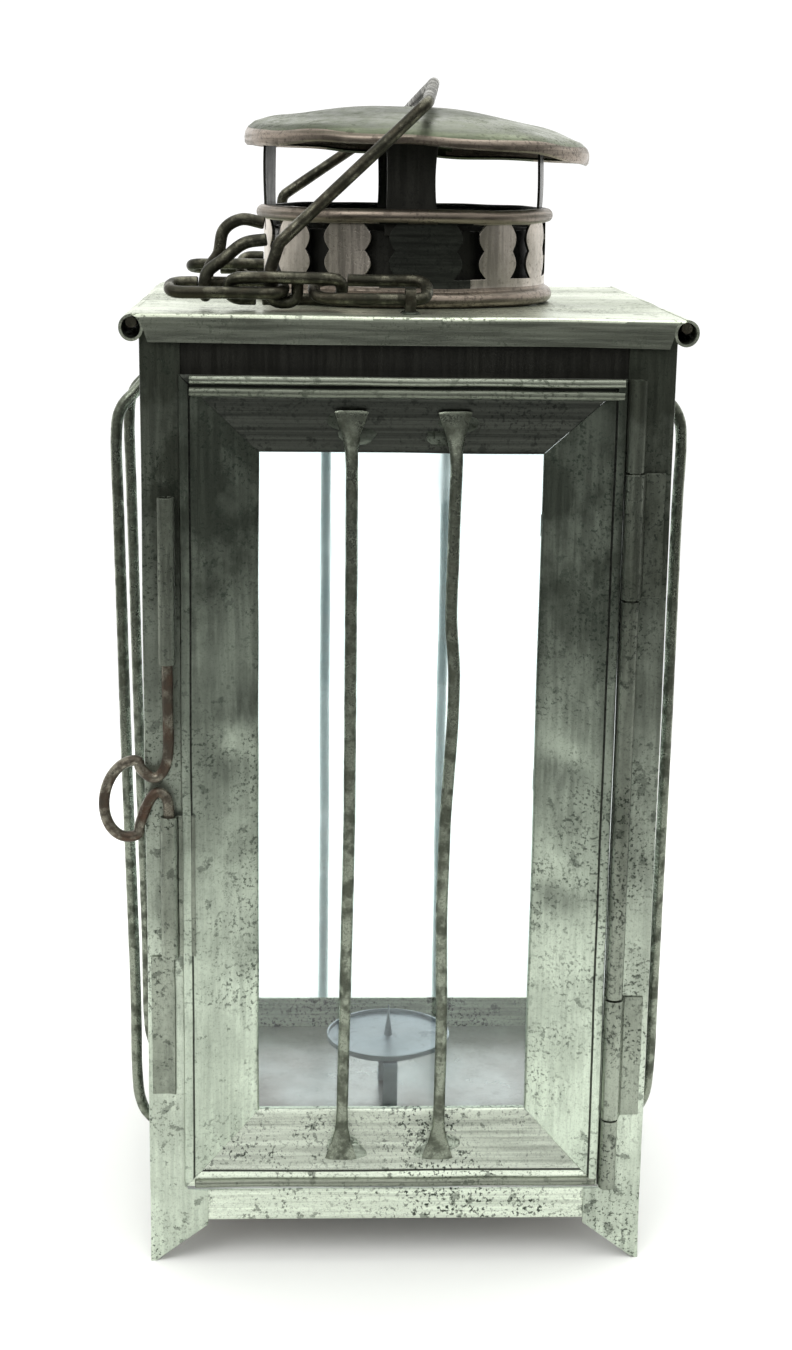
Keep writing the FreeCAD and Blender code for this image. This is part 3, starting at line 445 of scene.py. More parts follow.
def sheet(grid, gauge=TIN, holes=None, wrap=False):
    """A solid sheet. Seen from its outside, the grid's rows run up and its columns run to the right.

    holes marks the grid's cells that are open.
    """
    rows, columns = grid.shape[:2]
    if wrap:
        across = np.roll(grid, -1, 1) - np.roll(grid, 1, 1)
    else:
        across = np.gradient(grid, axis=1)
    outward = unit(np.cross(across, np.gradient(grid, axis=0)))
    points = np.concatenate([grid.reshape(-1, 3), (grid - outward * gauge).reshape(-1, 3)])
    behind = rows * columns
    faces = []
    rim = {}
    for i in range(rows - 1):
        for j in range(columns if wrap else columns - 1):
            if holes is not None and holes[i, j]:
                continue
            k = (j + 1) % columns
            cell = (i * columns + j, i * columns + k, (i + 1) * columns + k, (i + 1) * columns + j)
            faces.append(cell)
            faces.append(tuple(behind + corner for corner in reversed(cell)))
            for a, b in zip(cell, cell[1:] + cell[:1]):
                if (b, a) in rim:
                    del rim[(b, a)]
                else:
                    rim[(a, b)] = True
    faces.extend((b, a, behind + a, behind + b) for a, b in rim)
    used = sorted({corner for face in faces for corner in face})
    place = {corner: number for number, corner in enumerate(used)}
    return points[used], [[place[corner] for corner in face] for face in faces]


def rounded(corners, bend, step=0.9, closed=False):
    """Evenly spaced points along straight runs whose corners are eased by a bend."""
    corners = [np.array(corner, float) for corner in corners]
    count = len(corners)
    line = []
    for i, corner in enumerate(corners):
        if not closed and i in (0, count - 1):
            line.append(corner)
            continue
        back = corners[i - 1] - corner
        ahead = corners[(i + 1) % count] - corner
        reach_back = np.linalg.norm(back)
        reach_ahead = np.linalg.norm(ahead)
        half = math.acos(np.clip(back @ ahead / reach_back / reach_ahead, -1, 1)) / 2
        cut = min(bend / max(math.tan(half), 0.05), reach_back * 0.47, reach_ahead * 0.47)
        start = corner + back / reach_back * cut
        end = corner + ahead / reach_ahead * cut
        for t in np.linspace(0, 1, 9):
            line.append((1 - t) ** 2 * start + 2 * t * (1 - t) * corner + t ** 2 * end)
    line = np.array(line)
    if closed:
        line = np.vstack([line, line[:1]])
    length = np.concatenate([[0], np.cumsum(np.linalg.norm(np.diff(line, axis=0), axis=1))])
    stops = np.linspace(0, length[-1], max(int(length[-1] / step), 8) + 1)
    even = np.column_stack([np.interp(stops, length, line[:, axis]) for axis in range(3)])
    return even[:-1] if closed else even


def smooth_line(points, step=0.9):
    """Evenly spaced points on a smooth curve through the given ones."""
    points = np.array(points, float)
    padded = np.vstack([2 * points[0] - points[1], points, 2 * points[-1] - points[-2]])
    line = []
    for a, b, c, d in zip(padded, padded[1:], padded[2:], padded[3:]):
        for t in np.linspace(0, 1, 14, endpoint=False):
            line.append(
                b + 0.5 * t * (c - a + t * (2 * a - 5 * b + 4 * c - d + t * (3 * (b - c) + d - a)))
            )
    line.append(points[-1])
    line = np.array(line)
    length = np.concatenate([[0], np.cumsum(np.linalg.norm(np.diff(line, axis=0), axis=1))])
    stops = np.linspace(0, length[-1], max(int(length[-1] / step), 8) + 1)
    return np.column_stack([np.interp(stops, length, line[:, axis]) for axis in range(3)])


def wire(path, radius=WIRE, closed=False, side=None, wide=None, thin=None, sides=16, seed=0):
    """A wire along a path, slightly uneven, with its cut ends eased.

    wide and thin scale it along the path, where it is beaten flat; side is the way it spreads.
    """
    count = len(path)
    if closed:
        along = unit(np.roll(path, -1, 0) - np.roll(path, 1, 0))
    else:
        along = unit(np.gradient(path, axis=0))
    across = np.zeros_like(path)
    if side is None:
        first = np.cross(along[0], (0.31, 0.52, 0.8))
        across[0] = unit(first)
        for i in range(1, count):
            across[i] = unit(across[i - 1] - along[i] * (across[i - 1] @ along[i]))
    else:
        side = np.array(side, float)
        across = unit(side - along * (along @ side)[:, None])
    up = np.cross(along, across)
    uneven = np.array([1 + 0.035 * noise.noise(Vector(point * 0.16) + Vector((seed, 0, 0))) for point in path])
    wide = uneven * radius * (1 if wide is None else np.asarray(wide))
    thin = uneven * radius * (1 if thin is None else np.asarray(thin))
    turn = np.linspace(0, 2 * math.pi, sides, endpoint=False)
    loops = (
        path[:, None]
        + across[:, None] * (wide[:, None] * np.cos(turn))[..., None]
        + up[:, None] * (thin[:, None] * np.sin(turn))[..., None]
    )
    if not closed:
        ease = 0.18 * radius
        for end, inner in ((0, 1), (-1, -2)):
            flat = path[end] + (loops[end] - path[end]) * 0.8
            loops[end] += unit(path[inner] - path[end]) * ease
            cap = flat[None]
            loops = np.vstack([cap, loops]) if end == 0 else np.vstack([loops, cap])
    return loft(loops, ring=closed)


def wavy(grid, size, depth, seed=0):
    """Shifts points by a soft unevenness of about that size and depth."""
    flat = grid.reshape(-1, 3)
    shift = [noise.noise_vector(Vector(point / size) + Vector((seed * 7.3, 0, 0))) for point in flat]
    return grid + (np.array(shift) * depth).reshape(grid.shape)


def dented(grid, dents):
    """Pushes points near each dent: a centre, a radius and the push at its middle."""
    for centre, radius, push in dents:
        away = np.linalg.norm(grid - np.array(centre), axis=-1, keepdims=True)
        grid = grid + np.exp(-((away / radius) ** 2)) * np.array(push, float)
    return grid


def blob(centre, radii, seed, lumps=0.25):
    """A soft lump of solder."""
    work = bmesh.new()
    bmesh.ops.create_icosphere(work, subdivisions=3, radius=1)
    points = []
    for vert in work.verts:
        swell = 1 + lumps * noise.noise(vert.co * 1.7 + Vector((seed, seed, 0)))
        points.append(np.array(centre) + np.array(vert.co) * swell * np.array(radii))
    faces = [[vert.index for vert in face.verts] for face in work.faces]
    work.free()
    return points, faces


def turned(outline, steps=120, centre=(0, 0, 0)):
    """A turned piece from a closed outline of (radius, height)."""
    outline = np.array(outline, float)
    turn = np.linspace(0, 2 * math.pi, steps, endpoint=False)
    loops = np.stack(
        [
            outline[None, :, 0] * np.cos(turn)[:, None],
            outline[None, :, 0] * np.sin(turn)[:, None],
            np.repeat(outline[None, :, 1], steps, 0),
        ],
        -1,
    )
    return loft(loops + np.array(centre), ring=True)


def arc(centre, radius, start, end, steps):
    """Points of an arc in a plane, from one angle to another in degrees."""
    turn = np.radians(np.linspace(start, end, steps))
    return [(centre[0] + radius * math.cos(a), centre[1] + radius * math.sin(a)) for a in turn]


def turn_about(points, axis, degrees, centre=(0, 0, 0)):
    """Points turned about an axis through a centre."""
    spin = np.array(Matrix.Rotation(math.radians(degrees), 3, axis))
    return (np.asarray(points) - centre) @ spin.T + centre


# ---- corner posts

FOOT_WIDTH = 14.0
FOOT_RISE = 9.6
FOOT_TIP = 1.2
POST_LEG = 9.0
HINGE_COVER = 1.8  # the hinge post is this much wider behind the barrels
PAN_TOP = span("floor_pan")[1][2]


def leg_width(height):
    if height < FOOT_RISE:
        return FOOT_TIP + (FOOT_WIDTH - FOOT_TIP) * height / FOOT_RISE
    return FOOT_WIDTH if height <= PAN_TOP else POST_LEG


def make_post(node, seed):
    """An angle post with a rounded fold and a pointed foot."""
    low, high = span(node)
    side = np.sign(middle(node)[:2])
    corner = np.where(side > 0, high[:2], low[:2])
    foot = list(np.linspace(0, FOOT_RISE, 7)) + [13.0, PAN_TOP - 0.05, PAN_TOP + 0.35]
    levels = foot + list(np.linspace(PAN_TOP + 4, high[2], 44))
    shares = np.array([1, 0.97, 0.8, 0.6, 0.4, 0.25, 0.14, 0.06])
    grid = []
    for level in levels:
        reach = shares * leg_width(level)
        cover = 1 + HINGE_COVER / POST_LEG if node == "post_front_right" and level > PAN_TOP + 1 else 1
        along_x = [(corner[0] - side[0] * r * cover, corner[1], level) for r in reach]
        fold = [(corner[0] - side[0] * 0.14, corner[1] - side[1] * 0.14, level)]
        along_y = [(corner[0], corner[1] - side[1] * r, level) for r in reach[::-1]]
        grid.append(along_x + fold + along_y)
    grid = wavy(np.array(grid), 34, 0.15, seed)
    points, faces = sheet(orient(grid, (side[0], side[1], 0)))
    add_piece(node, points, faces, POST_TIN, bevel=0.1)


def orient(grid, outward):
    """The grid with its columns reversed if its outside doesn't face that way."""
    i, j = grid.shape[0] // 2, grid.shape[1] // 2
    across = grid[i, j + 1] - grid[i, j - 1]
    upward = grid[i + 1, j] - grid[i - 1, j]
    return grid if np.cross(across, upward) @ np.array(outward) > 0 else grid[:, ::-1]


for number, post in enumerate(("post_front_left", "post_front_right", "post_rear_left", "post_rear_right")):
    make_post(post, number)


# ---- floor tray and head band


def make_wall_band(node, level_low, level_high, seed, front_low=None):
    """Four upright walls in one band. Its front wall may start higher."""
    low, high = span(node)
    middle_x, middle_y = ((low + high) / 2)[:2]
    half = ((high - low) / 2)[:2]
    runs = []
    for (ax, ay), (bx, by) in (((-1, -1), (1, -1)), ((1, -1), (1, 1)), ((1, 1), (-1, 1)), ((-1, 1), (-1, -1))):
        for t in np.linspace(0.006, 0.994, 22):
            runs.append((middle_x + half[0] * (ax + (bx - ax) * t), middle_y + half[1] * (ay + (by - ay) * t)))
    grid = []
    for share in np.linspace(0, 1, 6):
        row = []
        for x, y in runs:
            is_front = front_low is not None and y < low[1] + 1
            start = front_low if is_front else level_low
            row.append((x, y, start + (level_high - start) * share))
        grid.append(row)
    grid = wavy(np.array(grid), 30, 0.12, seed)
    return sheet(grid, wrap=True)


def make_pan():
    low, high = span("floor_pan")
    band = make_wall_band("floor_pan", low[2], high[2], 11)
    floor_top = span("left_pane")[0][2]
    xs = np.linspace(low[0] + 0.5, high[0] - 0.5, 40)
    ys = np.linspace(low[1] + 0.5, high[1] - 0.5, 40)
    grid = np.array([[(x, y, floor_top - 0.05) for x in xs] for y in ys])
    swell = np.sin((grid[..., 0] - xs[0]) / (xs[-1] - xs[0]) * math.pi)
    swell = swell * np.sin((grid[..., 1] - ys[0]) / (ys[-1] - ys[0]) * math.pi)
    grid[..., 2] -= 0.25 * swell
    points, faces = gather([band, sheet(grid, gauge=TIN - 0.05)])
    bottom = range(len(band[1]), len(faces))
    # Painted light: the tray's walls get the bright lit copy of the tin.
    add_piece("floor_pan", points, faces, LIT_RAIL_TIN, bevel=0.1, paint=[(FLOOR_TIN, bottom)])


def make_head():
    low, high = span("head_band")
    header = span("door_top_strip")[1][2] - 3.4
    points, faces = make_wall_band("head_band", low[2], high[2], 12, front_low=header)
    # Painted shadow: the head band, under the roof's overhang, gets the near-black tin.
    add_piece("head_band", points, faces, SOOT_AND_SHADE_TIN, bevel=0.1)


make_pan()
make_head()


# ---- door

DOOR_LOW, DOOR_HIGH = span("door_left_strip")[0][2], span("door_left_strip")[1][2]
DOOR_LEFT, DOOR_RIGHT = span("door_left_strip")[0][0], span("door_right_strip")[1][0]
DOOR_FRONT, LIP_BACK = span("door_left_strip")[0][1], span("door_left_strip")[1][1]
STRIP_WIDTH = span("door_left_strip")[1][0] - DOOR_LEFT
FLANGE = 4.1
BEVEL_END = -55.6
HEM = 0.8


def strip_section(hem):
    """(distance in from the door's edge, depth) from the lip out to the edge."""
    wall = STRIP_WIDTH
    section = [(wall, LIP_BACK), (wall, LIP_BACK - 0.7), (wall, BEVEL_END + 0.35), (wall - 0.25, BEVEL_END)]
    for share in np.linspace(0.04, 0.95, 11):
        section.append((wall + (FLANGE - wall) * share, BEVEL_END + (DOOR_FRONT - BEVEL_END) * share))
    section += [(FLANGE + 0.3, DOOR_FRONT + 0.07), (FLANGE - 0.2, DOOR_FRONT)]
    if hem:
        section += [(2.6, DOOR_FRONT), (2.2, DOOR_FRONT - HEM), (1.0, DOOR_FRONT - HEM * 1.15)]
        section += [(0.25, DOOR_FRONT - HEM), (0.0, DOOR_FRONT + 0.25)]
    else:
        section += [(2.0, DOOR_FRONT), (0.3, DOOR_FRONT), (0.0, DOOR_FRONT + 0.2)]
    return section


STILE_DENTS = (
    ((-37.3, -57.0, 136.0), 5.5, (0, -0.9, 0)),
    ((-40.5, -58.0, 129.0), 4.0, (0, 0.5, 0)),
    ((38.6, -56.5, 127.5), 5.0, (0, 1.0, 0)),
    ((41.0, -57.5, 131.0), 3.4, (0, -0.6, 0)),
    ((38.5, -56.5, 97.0), 5.2, (0, 1.0, 0)),
    ((41.0, -57.5, 101.0), 3.2, (0, -0.5, 0)),
    ((-39.0, -57.0, 96.0), 9.0, (0, 0.4, 0)),
    ((-43.0, -58.5, 52.0), 8.0, (0, -0.35, 0)),
)


def make_strip(node, turn, hem, seed):
    """One mitred side of the door frame: a flange, a wide bevel and a lip."""
    centre = np.array([(DOOR_LEFT + DOOR_RIGHT) / 2, 0, (DOOR_LOW + DOOR_HIGH) / 2])
    tall = DOOR_HIGH - DOOR_LOW
    wide = DOOR_RIGHT - DOOR_LEFT
    length, reach = (wide, tall / 2) if turn in (0, 180) else (tall, wide / 2)
    grid = []
    for inset, depth in strip_section(hem):
        half = length / 2 - inset - 0.02
        row = [(half * share, depth, reach - inset) for share in np.linspace(-1, 1, int(length / 2.2))]
        grid.append(row)
    grid = turn_about(np.array(grid), "Y", turn) + centre
    grid = dented(wavy(grid, 26, 0.20, seed), STILE_DENTS)
    # Painted light: the top strip, facing down, gets the near-black shaded tin and the bottom strip, facing up, the
    # bright lit tin; the side strips keep the stile tin.
    material = {0: SHADED_TIN, 180: LIT_RAIL_TIN}.get(turn, STILE_TIN)
    points, faces = sheet(orient(grid, (0, -1, 0)), gauge=0.5)
    # Painted shade: the rows along the crease get the near-black shaded tin.
    crease = (2.1, 2.7) if hem else (FLANGE - 0.3, FLANGE + 0.4)
    insets = [inset for inset, _ in strip_section(hem)]
    cells = 2 * (grid.shape[1] - 1)
    dark = []
    for row, (inner, outer) in enumerate(zip(insets, insets[1:])):
        if crease[0] <= outer <= inner <= crease[1]:
            dark.extend(range(row * cells, (row + 1) * cells))
    add_piece(node, points, faces, material, bevel=0.08, paint=[(SHADED_TIN, dark)])


make_strip("door_top_strip", 0, False, 1)
make_strip("door_right_strip", 90, True, 2)
make_strip("door_bottom_strip", 180, False, 3)
make_strip("door_left_strip", 270, True, 4)


def make_beads():
    """Rolled beads along the door's top and bottom edges."""
    for node, count in (("door_top_bead", 2), ("door_bottom_bead", 1)):
        low, high = span(node)
        radius = high[1] - low[1]
        levels = [high[2] - radius, low[2] + radius][:count]
        parts = []
        for number, level in enumerate(levels):
            path = np.array([(x, high[1] - 0.15, level) for x in np.linspace(low[0], high[0] + 2, 90)])
            path = wavy(path, 17, 0.16, 3 + number)
            parts.append(wire(path, radius * 0.96, side=(0, 0, 1), seed=number))
        points, faces = gather(parts)
        add_piece(node, points, faces, BEAD_TIN)


make_beads()

# each guard's sideways bends: (share of the way up, shift)
GUARD_BENDS = {
    "door_guard_left": ((0.0, -0.9), (0.2, -0.35), (0.45, 0.35), (0.7, 0.3), (0.93, 0.15), (1.0, 0.0)),
    "door_guard_right": (
        (0.0, -0.7), (0.18, -0.35), (0.36, -0.95), (0.48, -0.5), (0.60, 0.7), (0.67, 0.8), (0.75, -0.2),
        (0.93, 0.4), (1.0, 0.0),
    ),
}


def make_door_guard(node, seed):
    """A wire before the door's pane. Its ends are beaten into fans and soldered to the bevels."""
    low, high = span(node)
    x = middle(node)[0]
    front = low[1] + WIRE
    slope = (BEVEL_END - DOOR_FRONT) / (STRIP_WIDTH - FLANGE)
    top = DOOR_HIGH - FLANGE - 3.6
    bottom = DOOR_LOW + FLANGE + 2.6
    on_bevel = DOOR_FRONT + 3.4 * slope - 0.55
    bends = np.array(GUARD_BENDS[node])
    line = [(top, on_bevel), (top - 3.5, on_bevel - 0.05), (top - 8, on_bevel - 0.5), (top - 13, front)]
    line += [(level, front) for level in np.linspace(top - 24, bottom + 26, 12)]
    line += [(bottom + 14, front), (bottom + 8, on_bevel - 0.5), (bottom + 3.5, on_bevel - 0.05), (bottom, on_bevel)]
    path = smooth_line(
        [(x + np.interp((z - bottom) / (top - bottom), bends[:, 0], bends[:, 1]), y, z) for z, y in line]
    )
    path[:, 0] += [0.1 * noise.noise(Vector((seed, 0, z / 14))) for z in path[:, 2]]
    ends = np.minimum(top - path[:, 2], path[:, 2] - bottom)
    wide = np.interp(ends, [0, 2, 5, 9, 13], [2.75, 2.35, 1.6, 1.08, 1.0])
    thin = np.interp(ends, [0, 2, 5, 9, 13], [0.30, 0.36, 0.55, 0.9, 1.0])
    parts = [wire(path, WIRE, side=(1, 0, 0), wide=wide, thin=thin, seed=seed)]
    strand_faces = len(parts[0][1])
    lumps = ((top - 2, 1.0), (top - 5.5, -2.2), (bottom + 3, 0.6), (bottom + 1.2, -3.0))
    for number, (level, drop) in enumerate(lumps):
        inset = min(DOOR_HIGH - level, level - DOOR_LOW)
        depth = DOOR_FRONT + (inset - FLANGE) * slope - 0.02
        radii = (4.6 - number * 0.4, 0.55, 2.8)
        parts.append(blob((x + drop * (1 if seed else -0.6), depth, level), radii, seed * 5 + number))
    points, faces = gather(parts)
    add_piece(node, points, faces, GUARD_WIRE, paint=[(SOLDER, range(strand_faces, len(faces)))])


make_door_guard("door_guard_left", 0)
make_door_guard("door_guard_right", 1)


# ---- hinge and latch


def rolled(outline, low, high, steps=10):
    """A bent sheet's section, as (x, y) points, drawn upwards."""
    return np.array([[(x, y, z) for x, y in outline] for z in np.linspace(low, high, steps)])


PIN_X, PIN_Y = middle("hinge_pin")[:2]
KNUCKLE = 2.15


def make_hinge_leaf(node, seed):
    """A leaf rolled round the pin, with its flap on the post."""
    low, high = span(node)
    flap_y = -60.05 - TIN
    roll = arc((PIN_X, PIN_Y), KNUCKLE, -20 + 360, 62, 30)
    outline = [(high[0], flap_y), (high[0] - 2, flap_y), (PIN_X + KNUCKLE + 0.7, flap_y - 0.05)] + roll
    grid = wavy(rolled(outline, low[2], high[2], 16), 12, 0.12, seed)
    points, faces = sheet(orient(grid, (0.3, -1, 0)), gauge=0.55)
    add_piece(node, points, faces, WORN_TIN, bevel=0.1)


def make_barrel(node, seed):
    """A stretch of the door's edge rolled round the pin."""
    low, high = span(node)
    outline = [(DOOR_RIGHT + 0.05, DOOR_FRONT)] + arc((PIN_X, PIN_Y), KNUCKLE - 0.14, 170, 500, 32)
    grid = wavy(rolled(outline, low[2], high[2], int((high[2] - low[2]) / 3) + 4), 14, 0.07, seed)
    points, faces = sheet(orient(grid, (-0.2, -1, 0)), gauge=0.55)
    add_piece(node, points, faces, WORN_TIN, bevel=0.1)


def make_keeper():
    """The latch's rolled tube on the post."""
    low, high = span("latch_keeper")
    x, y = middle("latch_keeper")[:2]
    radius = (high[0] - low[0]) / 2
    outline = arc((x, y), radius, 100, 440, 34)
    grid = wavy(rolled(outline, low[2], high[2], 18), 11, 0.15, 5)
    points, faces = sheet(orient(grid, (0, -1, 0)), gauge=0.55)
    add_piece("latch_keeper", points, faces, WORN_TIN, bevel=0.1)


def make_catch():
    """The door's catch: a sheet rolled into a tube for the latch pin's end."""
    low, high = span("door_catch")
    radius = 2.0
    x = low[0] + radius
    y = low[1] + radius
    flap = [(high[0], DOOR_FRONT - TIN), (high[0] - 1, DOOR_FRONT - TIN), (x + radius + 0.2, DOOR_FRONT - TIN - 0.1)]
    outline = flap + arc((x, y), radius, 400, 75, 32)
    grid = wavy(rolled(outline, low[2], high[2], 16), 11, 0.12, 6)
    points, faces = sheet(orient(grid, (0, -1, 0)), gauge=0.5)
    add_piece("door_catch", points, faces, WORN_TIN, bevel=0.1)


def make_latch_strap():
    """The flat strap soldered beside the catch, with one edge folded forward."""
    low, high = span("latch_strap")
    front = low[1]
    outline = [(low[0], front), (low[0] + 1.5, front), (high[0] - 1.4, front), (high[0] - 0.6, front - 0.25)]
    outline += [(high[0], front - 0.7)]
    grid = wavy(rolled(outline, low[2], high[2], 18), 10, 0.14, 7)
    points, faces = sheet(orient(grid, (0, -1, 0)), gauge=0.5)
    add_piece("latch_strap", points, faces, WORN_TIN, bevel=0.1)


for number, leaf in enumerate(("hinge_leaf_upper", "hinge_leaf_lower")):
    make_hinge_leaf(leaf, number)
for number, barrel in enumerate(("door_barrel_top", "door_barrel_middle", "door_barrel_bottom")):
    make_barrel(barrel, number)
make_keeper()
make_catch()
make_latch_strap()


def make_latch_pin():
    """The sliding pin, bent into a round finger loop half way down."""
    low, high = span("latch_pin")
    x = high[0] - 1.3
    y = middle("latch_pin")[1]
    centre = np.array((low[0] + 7.6, 0, 119.0))
    loop = [
        centre + np.array((6.3 * math.cos(a), 0, 9.1 * math.sin(a) + 1.3 * math.cos(a)))
        for a in np.radians(np.linspace(75, 285, 11))
    ]
    path = [(0, 0, high[2]), (0, 0, 158), (0, 0, 143), (0.1, 0, 132), (-0.5, 0, 127.2), (-2.2, 0, 124.4)]
    path += [(-4.2, 0, 124.3), (-6.4, 0, 126.4)]
    path += [tuple(point - (x, 0, 0)) for point in loop]
    path += [(-6.7, 0, 112.6), (-5.0, 0, 117.4), (-3.0, 0, 120.3), (-1.1, 0, 120.0), (-0.05, 0, 117.4)]
    path += [(0, 0, low[2] + 0.6), (0, 0, low[2])]
    path = smooth_line(np.array(path) + (x, y, 0), 0.7)
    points, faces = wire(path, 1.27, seed=4)
    add_piece("latch_pin", points, faces, RUSTY_WIRE)


make_latch_pin()


# ---- fixed guards


def make_guard(node, way, seed, material):
    """A bowed wire across a fixed pane, its ends beaten flat and soldered to the walls."""
    low, high = span(node)
    centre = middle(node)
    way = np.array(way, float)
    wall = 59.37
    out = np.abs(high if way.sum() > 0 else low) @ np.abs(way) - wall - WIRE
    flat = 0.7
    belly = out * (0.92 if way[0] > 0 else 0.72)
    line = [
        (high[2], flat), (high[2] - 4, flat + 0.4), (high[2] - 8.5, out * 0.45), (high[2] - 13, out * 0.86),
        (high[2] - 20, out), (high[2] - 40, out * 0.97), (high[2] - 100, (out + belly) / 2), (low[2] + 45, belly),
        (low[2] + 20, belly * 0.97), (low[2] + 11, belly * 0.78), (low[2] + 6, 1.9), (low[2] + 3, flat + 0.2),
        (low[2], flat),
    ]
    base = centre * (1 - np.abs(way)) + way * wall
    path = smooth_line([base * (1, 1, 0) + way * offset + np.array((0, 0, z)) for z, offset in line])
    sway = np.array([0.5 * noise.noise(Vector((seed * 3.1, 1, z / 45))) for z in path[:, 2]])
    path[:, :2] += np.outer(sway, way[[1, 0]])
    ends = np.minimum(high[2] - path[:, 2], path[:, 2] - low[2])
    wide = np.interp(ends, [0, 3, 6, 9], [2.2, 1.8, 1.1, 1.0])
    thin = np.interp(ends, [0, 3, 6, 9], [0.4, 0.5, 0.9, 1.0])
    parts = [wire(path, WIRE, side=(way[1], way[0], 0), wide=wide, thin=thin, seed=seed)]
    strand_faces = len(parts[0][1])
    for number, level in enumerate((high[2] - 3, low[2] + 3)):
        radii = 0.5 * np.abs(way) + (1 - np.abs(way)) * (3.4, 3.4, 3.2)
        spot = base * (1, 1, 0) + np.array((0, 0, level))
        parts.append(blob(spot, radii, seed + number * 9))
    points, faces = gather(parts)
    add_piece(node, points, faces, material, paint=[(SOLDER, range(strand_faces, len(faces)))])


for number, (guard, way) in enumerate(
    (
        ("left_guard_front", (-1, 0, 0)),
        ("left_guard_rear", (-1, 0, 0)),
        ("right_guard_front", (1, 0, 0)),
        ("right_guard_rear", (1, 0, 0)),
    )
):
    make_guard(guard, way, number, GUARD_WIRE)
# Painted light: the rear guards, seen through the glass, get the near-white wire.
make_guard("rear_guard_left", (0, 1, 0), 5, PALE_PAINTED_WIRE)
make_guard("rear_guard_right", (0, 1, 0), 6, PALE_PAINTED_WIRE)


# ---- candle plate


def make_candle_plate():
    """A shallow round plate with a turned-up rim and a sharp prick."""
    low, high = span("candle_plate")
    radius = (high[0] - low[0]) / 2
    base = low[2]
    outline = [(0.05, base), (radius - 0.6, base), (radius, base + 0.5), (radius, base + 1.75)]
    outline += [(radius - 0.25, base + 1.85), (radius - 0.5, base + 1.7), (radius - 0.6, base + 0.8)]
    outline += [(radius - 1.2, base + 0.6), (1.9, base + 0.6), (1.1, base + 1.0), (0.5, high[2] - 4)]
    outline += [(0.12, high[2]), (0.02, high[2])]
    points, faces = turned(outline, 72)
    points = dented(np.array(points), [((9, -12, base), 7, (0, 0, 0.4)), ((-11, 8, base), 8, (0, 0, -0.3))])
    add_piece("candle_plate", points, faces, PLATE_TIN)


def make_candle_strap():
    """The strap under the plate, bent down to two soldered feet."""
    low, high = span("candle_strap")
    side = 16.6
    outline = rounded(
        [
            (0, low[1], low[2] + TIN), (0, -side, low[2] + TIN), (0, -side, high[2]), (0, side, high[2]),
            (0, side, low[2] + TIN), (0, high[1], low[2] + TIN),
        ],
        1.2,
        step=1.2,
    )
    grid = np.array([outline + (x, 0, 0) for x in np.linspace(low[0], high[0], 6)])
    points, faces = sheet(orient(grid, (0, 0, 1)), gauge=0.55)
    add_piece("candle_strap", points, faces, PLATE_TIN, bevel=0.1)


make_candle_plate()
make_candle_strap()


# ---- roof

ROOF_LOW, ROOF_HIGH = span("roof")
ROOF_TOP = ROOF_HIGH[2]
CURL = 3.0
CURL_X = ROOF_HIGH[0] - CURL
COLLAR_X, COLLAR_LOW = middle("collar")[0], span("collar")[0][2]
COLLAR_HIGH = span("collar")[1][2]
FLUE = 32.0
FLANGE_LOW = ROOF_TOP - 6.4


